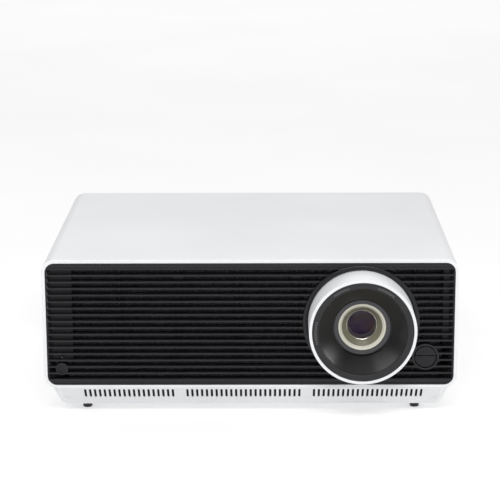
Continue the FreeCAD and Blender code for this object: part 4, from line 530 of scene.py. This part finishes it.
THREADS, THREAD_R, ELEMENT_SEAT = 5, 13.1, 4.0
baffle_low, baffle_high = depths("inner_baffle")
seat_y = baffle_high - ELEMENT_SEAT
thread_y = seat_y - 0.3
tube = [(19.0, baffle_low, 0.1), (19.0, baffle_high, 0.1), (9.65, baffle_high, 0.1),
        (9.65, seat_y + 0.3, 0.1), (10.1, seat_y - 0.15, 0.25), (12.7, seat_y - 0.1, 0.1)]
thread = (thread_y - baffle_low) / THREADS
for k in range(THREADS):
    y = thread_y - thread * k
    tube += [(THREAD_R, y, 0.05), (THREAD_R + 0.3, y - thread * 0.45, 0.05)]
tube += [(THREAD_R, baffle_low, 0.05)]
baffle = lathe("threaded_baffle", tube, "focus_unit", baffle_dark, steps=2)
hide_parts("inner_baffle")
print("baffle", len(baffle.data.polygons), "faces")

# %% [markdown]
# ## Glass elements
# A lens element is a spherical cap on each side of a flat edge band. The cap is sampled along its arc, so
# the reflections of the lamps in it curve as they do on real glass.
# %% Lathe the glass
CAP_POINTS = 14


def lens_profile(radius, y_front, y_back, bulge_front, bulge_back):
    """Closed half section of an element: axis, front cap, edge band, back cap, axis."""
    def cap(bulge, at, sign):
        ball = (radius ** 2 + bulge ** 2) / (2 * bulge)
        return [(r, at + sign * (math.sqrt(ball ** 2 - r ** 2) - ball + bulge), 0.0)
                for r in (radius * k / CAP_POINTS for k in range(CAP_POINTS + 1))]
    return cap(bulge_front, y_front, -1) + list(reversed(cap(bulge_back, y_back, 1)))


front_low, front_high = depths("front_lens")
first = lathe("front_element", lens_profile(13.72, front_low + 2.6, front_high - 0.4, 2.6, 0.4), "focus_unit",
              front_glass, around=96, smooth_deg=60)
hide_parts("front_lens")
inner_low, inner_high = depths("inner_lenses")
second = lathe("second_element", lens_profile(9.5, inner_low + 1.6, inner_low + 4.2, 1.6, 0.4), "focus_unit",
               inner_glass, around=80, smooth_deg=60)
rear_one = lathe("rear_elements", lens_profile(19.0, inner_high - 17.0, inner_high - 13.0, 1.5, 1.0),
                 "focus_unit", inner_glass, around=80, smooth_deg=60)
last = lathe("last_element", lens_profile(19.0, inner_high - 5.0, inner_high - 1.0, 1.5, 1.0), "focus_unit",
             inner_glass, around=80, smooth_deg=60)
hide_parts("inner_lenses")
print("glass", [len(o.data.polygons) for o in (first, second, rear_one, last)])

# %% [markdown]
# ## Softened copies
# CAD edges are perfectly sharp, but a moulded edge has a radius of a few tenths of a millimetre. It could
# be faked in the shader; real geometry catches the light better and survives export. The copy is merged,
# its flat areas are joined again, and only the edges that pass a test are bevelled. Each corner's normal is
# weighted by the area of its faces, so that a large flat stays flat up to its rounded edge.
# %% Softened copies of CAD nodes
WELD_CAD = 2e-6
FLAT_DEG, CORNER_DEG, SMOOTH_DEG = 0.6, 30, 40


def softened(name, node, body, finish, radius_mm, wanted, segments=2):
    """A copy of a CAD node with the wanted outer edges rounded; it takes the node's place."""
    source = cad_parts[node]
    made = bpy.data.objects.new(name, source.data.copy())
    bpy.context.scene.collection.objects.link(made)
    shape = bmesh.new()
    shape.from_mesh(made.data)
    bmesh.ops.remove_doubles(shape, verts=shape.verts, dist=WELD_CAD)
    bmesh.ops.dissolve_limit(shape, angle_limit=math.radians(FLAT_DEG), verts=shape.verts, edges=shape.edges)
    corner = math.radians(CORNER_DEG)
    chosen = [e for e in shape.edges if len(e.link_faces) == 2 and e.is_convex
              and e.calc_face_angle(0.0) > corner and wanted(e.verts[0].co, e.verts[1].co)]
    bmesh.ops.bevel(shape, geom=chosen, offset=radius_mm * MM, segments=segments, profile=0.5, affect="EDGES",
                    clamp_overlap=True)
    shape.to_mesh(made.data)
    shape.free()
    made.data.materials.clear()
    made.data.materials.append(finish)
    made.data.shade_smooth()
    made.data.set_sharp_from_angle(angle=math.radians(SMOOTH_DEG))
    weigher = made.modifiers.new("area-weighted normals", "WEIGHTED_NORMAL")
    weigher.keep_sharp = True
    weighed = bpy.data.meshes.new_from_object(made.evaluated_get(bpy.context.evaluated_depsgraph_get()))
    made.modifiers.clear()
    made.data = weighed
    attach(made, body)
    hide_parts(node)
    print(name, "bevelled", len(chosen), "edges,", len(made.data.polygons), "faces")
    return made


# %% [markdown]
# ## Louvred front
# The grille is one moulding with eighteen slats. What shows of each slat is a thin bright line along its
# nose, where the rounding faces the lamps. So the edges at the front are rounded to nearly half the slat's
# thickness.
# %% Round the louvre noses
def at_the_front(a, b):
    return max(a.y, b.y) < front_y + 2.0 * MM


louvres = softened("front_louvres", "front_grille", "casing", grille_black, 0.68, at_the_front, segments=3)

# %% [markdown]
# ## Sleeve and tray
# The white sleeve and the white tray meet in a parting line low on the side. Each mating edge is rounded,
# so the joint reads as a fine dark line. The other edges already have their moulded radius from CAD.
# %% Ease the parting line
split_z = place("upper_cover")[0].z


def at_the_split(a, b):
    flat = abs(a.z - split_z) < 0.05 * MM and abs(b.z - split_z) < 0.05 * MM
    outside = all(abs(v.x) > cad_high.x - 0.1 * MM for v in (a, b))
    return flat and outside


sleeve = softened("white_sleeve", "upper_cover", "casing", white, 0.4, at_the_split)
tray = softened("white_tray", "base_tray", "casing", white, 0.4, at_the_split)

# %% [markdown]
# ## Barrel nose
# The barrel's nose is a turned ring that stands just inside the bell's opening. The deep gap round it reads
# as a dark line. Its front edges are broken by a quarter of a millimetre, as a turner leaves them.
# %% Break the nose's edges
nose_y = place("lens_barrel")[0].y


def on_the_nose(a, b):
    return max(a.y, b.y) < nose_y + 0.5 * MM


barrel = softened("barrel_turned", "lens_barrel", "lens_carriage", barrel_black, 0.25, on_the_nose)

# %% [markdown]
# ## Geometry Nodes: one tree for small repeated bars
# The gauze strips in the tray's vents, which are partly painted shade, the bars at the grille's closed ends
# and the tick marks on the bell's rim are all small flat bars in a row or an arc. The first tree makes a row:
# a line of points, a bar on each point, realised into plain mesh. Its inputs are the count, the first place,
# the step, and each bar's turn and size.
# %% Build the row tree
SOCKETS = {"Count": "NodeSocketInt", "First": "NodeSocketVector", "Step": "NodeSocketVector",
           "Turn": "NodeSocketVector", "Centre": "NodeSocketVector", "Radius": "NodeSocketFloat",
           "First Angle": "NodeSocketFloat", "Angle Step": "NodeSocketFloat",
           "Bar Size": "NodeSocketVector", "Finish": "NodeSocketMaterial"}


def new_tree(name, labels):
    """A Geometry Nodes tree with named inputs and one geometry output, and its input node's outputs."""
    tree = bpy.data.node_groups.new(name, "GeometryNodeTree")
    for label in labels:
        tree.interface.new_socket(label, in_out="INPUT", socket_type=SOCKETS[label])
    tree.interface.new_socket("Geometry", in_out="OUTPUT", socket_type="NodeSocketGeometry")
    return tree, add(tree, "NodeGroupInput").outputs


def bars_on(tree, given, points, turn):
    """The end of a tree: a bar on each point, realised, with the given finish."""
    bar = add(tree, "GeometryNodeMeshCube", inputs={"Size": given["Bar Size"]})
    row = add(tree, "GeometryNodeInstanceOnPoints", inputs={
        "Points": points, "Instance": bar.outputs["Mesh"], "Rotation": turn})
    solid = add(tree, "GeometryNodeRealizeInstances", inputs={"Geometry": row.outputs["Instances"]})
    finished = add(tree, "GeometryNodeSetMaterial", inputs={
        "Geometry": solid.outputs["Geometry"], "Material": given["Finish"]})
    add(tree, "NodeGroupOutput", inputs={"Geometry": finished.outputs["Geometry"]})
    return tree


def row_tree():
    tree, given = new_tree("row of bars", ("Count", "First", "Step", "Turn", "Bar Size", "Finish"))
    line = add(tree, "GeometryNodeMeshLine", {"mode": "OFFSET"}, {
        "Count": given["Count"], "Start Location": given["First"], "Offset": given["Step"]})
    return bars_on(tree, given, line.outputs["Mesh"], given["Turn"])


def run_tree(name, tree, values, body):
    """Run a Geometry Nodes tree with named values, and keep the result as a plain mesh on a body."""
    holder = bpy.data.objects.new(name + "_holder", bpy.data.meshes.new(name + "_holder"))
    bpy.context.scene.collection.objects.link(holder)
    modifier = holder.modifiers.new("nodes", "NODES")
    modifier.node_group = tree
    sockets = {item.name: item.identifier for item in tree.interface.items_tree if item.in_out == "INPUT"}
    for label, value in values.items():
        modifier[sockets[label]] = value
    evaluated = holder.evaluated_get(bpy.context.evaluated_depsgraph_get())
    mesh = bpy.data.meshes.new_from_object(evaluated)
    made = bpy.data.objects.new(name, mesh)
    bpy.context.scene.collection.objects.link(made)
    bpy.data.objects.remove(holder)
    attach(made, body)
    print(name, len(mesh.polygons), "faces")


rows = row_tree()

# %% [markdown]
# ## Gauze and painted shade in the tray's vents
# The vents look black. A strip of black gauze fills each slot a little below the surface and covers the
# slot's white walls; its black is partly the gauze and partly painted shade for the depth of the vents. The
# three groups of slots give three rows.
# %% Fill the vents
LEAN = math.radians(44.0)
LIP_RISE, GAUZE_DOWN, GAUZE_T, GAUZE_OVER = 22.0 * MM, 0.9 * MM, 0.6 * MM, 0.3 * MM
VENT_PITCH, VENT_LENGTH, VENT_WIDTH = 4.385 * MM, 14.5 * MM, 2.1 * MM
VENT_GROUPS, VENT_SKIP, VENT_SHIFT, VENT_DROP = (19, 24, 23), 2, 2.4 * MM, 2.0 * MM
tray_low = place("base_tray")[0]
# The strips are black to stand in for the shade deep in the vents as well as for a gauze: painted shade.
gauze_and_painted_shade = black_plastic("black nylon gauze and painted vent shade", "0A0A0B", "141416", 0.7, 0.9, 0.5, 0.1, gloss=0.2)
down_slope = Vector((0, math.sin(LEAN), -math.cos(LEAN)))
inwards = Vector((0, math.cos(LEAN), math.sin(LEAN)))
lip_edge = Vector((0, tray_low.y, tray_low.z + LIP_RISE))
centre = lip_edge + down_slope * (VENT_DROP + VENT_LENGTH / 2) + inwards * GAUZE_DOWN
steps = sum(VENT_GROUPS) - 1 + VENT_SKIP * (len(VENT_GROUPS) - 1)
column = (cad_low.x + cad_high.x) / 2 + VENT_SHIFT - steps * VENT_PITCH / 2
for side, count in zip(("left", "middle", "right"), VENT_GROUPS):
    run_tree("vent_gauze_and_shade_" + side, rows, {
        "Count": count, "First": (column, centre.y, centre.z), "Step": (VENT_PITCH, 0.0, 0.0),
        "Turn": (LEAN, 0.0, 0.0), "Bar Size": (VENT_WIDTH + GAUZE_OVER, GAUZE_T, VENT_LENGTH + GAUZE_OVER),
        "Finish": gauze_and_painted_shade}, "casing")
    column += (count + VENT_SKIP) * VENT_PITCH

# %% [markdown]
# ## Closed ends of the grille
# The louvres run from edge to edge, but the grille is closed behind them near both ends, where no fan draws
# air. A bar fills each gap there, a little behind the noses. At the power button and the dial the gaps stay
# free.
# %% Close the grille's ends
SLAT_PITCH, FIRST_SLAT = 6.02 * MM, 138.7 * MM
BAR_BACK, BAR_T, BAR_TALL = 4.6 * MM, 1.0 * MM, 4.6 * MM
first_gap = FIRST_SLAT - SLAT_PITCH / 2
LEFT_IN, LEFT_WIDE, RIGHT_IN, RIGHT_WIDE = 13.0 * MM, 20.0 * MM, 6.0 * MM, 8.0 * MM
BUTTON_ROOM, DIAL_ROOM = 1.5 * MM, 1.0 * MM
above_button = place("power_button")[1].z + BUTTON_ROOM
above_dial = place("dial_surround")[1].z + DIAL_ROOM
for side, middle, wide, stop in (("left", grille_low.x + LEFT_IN, LEFT_WIDE, above_button),
                                 ("right", grille_high.x - RIGHT_IN, RIGHT_WIDE, above_dial)):
    run_tree("closed_end_" + side, rows, {
        "Count": int((first_gap - stop) / SLAT_PITCH) + 1, "First": (middle, front_y + BAR_BACK, first_gap),
        "Step": (0.0, 0.0, -SLAT_PITCH), "Turn": (0.0, 0.0, 0.0), "Bar Size": (wide, BAR_T, BAR_TALL),
        "Finish": control_black}, "casing")

# %% [markdown]
# ## Tick marks on the bell's rim
# Fine pale ticks are printed in three arcs on the bell's flat rim. The second tree bends a row into an arc:
# each point's index sets its angle, and each bar turns with it, so that it points at the lens axis.
# %% Build the arc tree and print the ticks
def arc_tree():
    tree, given = new_tree("arc of bars", (
        "Count", "Centre", "Radius", "First Angle", "Angle Step", "Bar Size", "Finish"))

    def sum_of(operation, first, second=0.0, third=0.0):
        values = {0: first, 1: second, 2: third}
        return add(tree, "ShaderNodeMath", {"operation": operation}, values).outputs[0]

    index = add(tree, "GeometryNodeInputIndex").outputs[0]
    angle = sum_of("MULTIPLY_ADD", index, given["Angle Step"], given["First Angle"])
    across = sum_of("MULTIPLY", sum_of("COSINE", angle), given["Radius"])
    upward = sum_of("MULTIPLY", sum_of("SINE", angle), given["Radius"])
    bend = add(tree, "ShaderNodeCombineXYZ", inputs={"X": across, "Z": upward})
    turn = add(tree, "ShaderNodeCombineXYZ", inputs={"Y": sum_of("MULTIPLY", angle, -1.0)})
    line = add(tree, "GeometryNodeMeshLine", {"mode": "OFFSET"}, {
        "Count": given["Count"], "Start Location": given["Centre"], "Offset": (0.0, 0.0, 0.0)})
    arc = add(tree, "GeometryNodeSetPosition", inputs={"Geometry": line.outputs["Mesh"],
                                                       "Offset": bend.outputs["Vector"]})
    return bars_on(tree, given, arc.outputs["Geometry"], turn.outputs["Vector"])


arcs = arc_tree()
tick_print = black_plastic("pale grey pad print", "6A6A6C", "767678", 0.5, 0.6, 0.2, 0.004)
TICK_RADIUS, TICK_STEP_DEG = 41.6 * MM, 2.1
TICK_PROUD, TICK_SIZE = 0.03 * MM, (1.6 * MM, 0.08 * MM, 0.5 * MM)
tick_y = place("lens_bell")[0].y - TICK_PROUD
for side, start, stop in (("above_left", 108, 130), ("above_right", 51, 75), ("left", 167, 197)):
    run_tree("rim_ticks_" + side, arcs, {
        "Count": int((stop - start) / TICK_STEP_DEG),
        "Centre": (lens_x, tick_y, lens_z), "Radius": TICK_RADIUS,
        "First Angle": math.radians(start), "Angle Step": math.radians(TICK_STEP_DEG),
        "Bar Size": TICK_SIZE, "Finish": tick_print}, "casing")
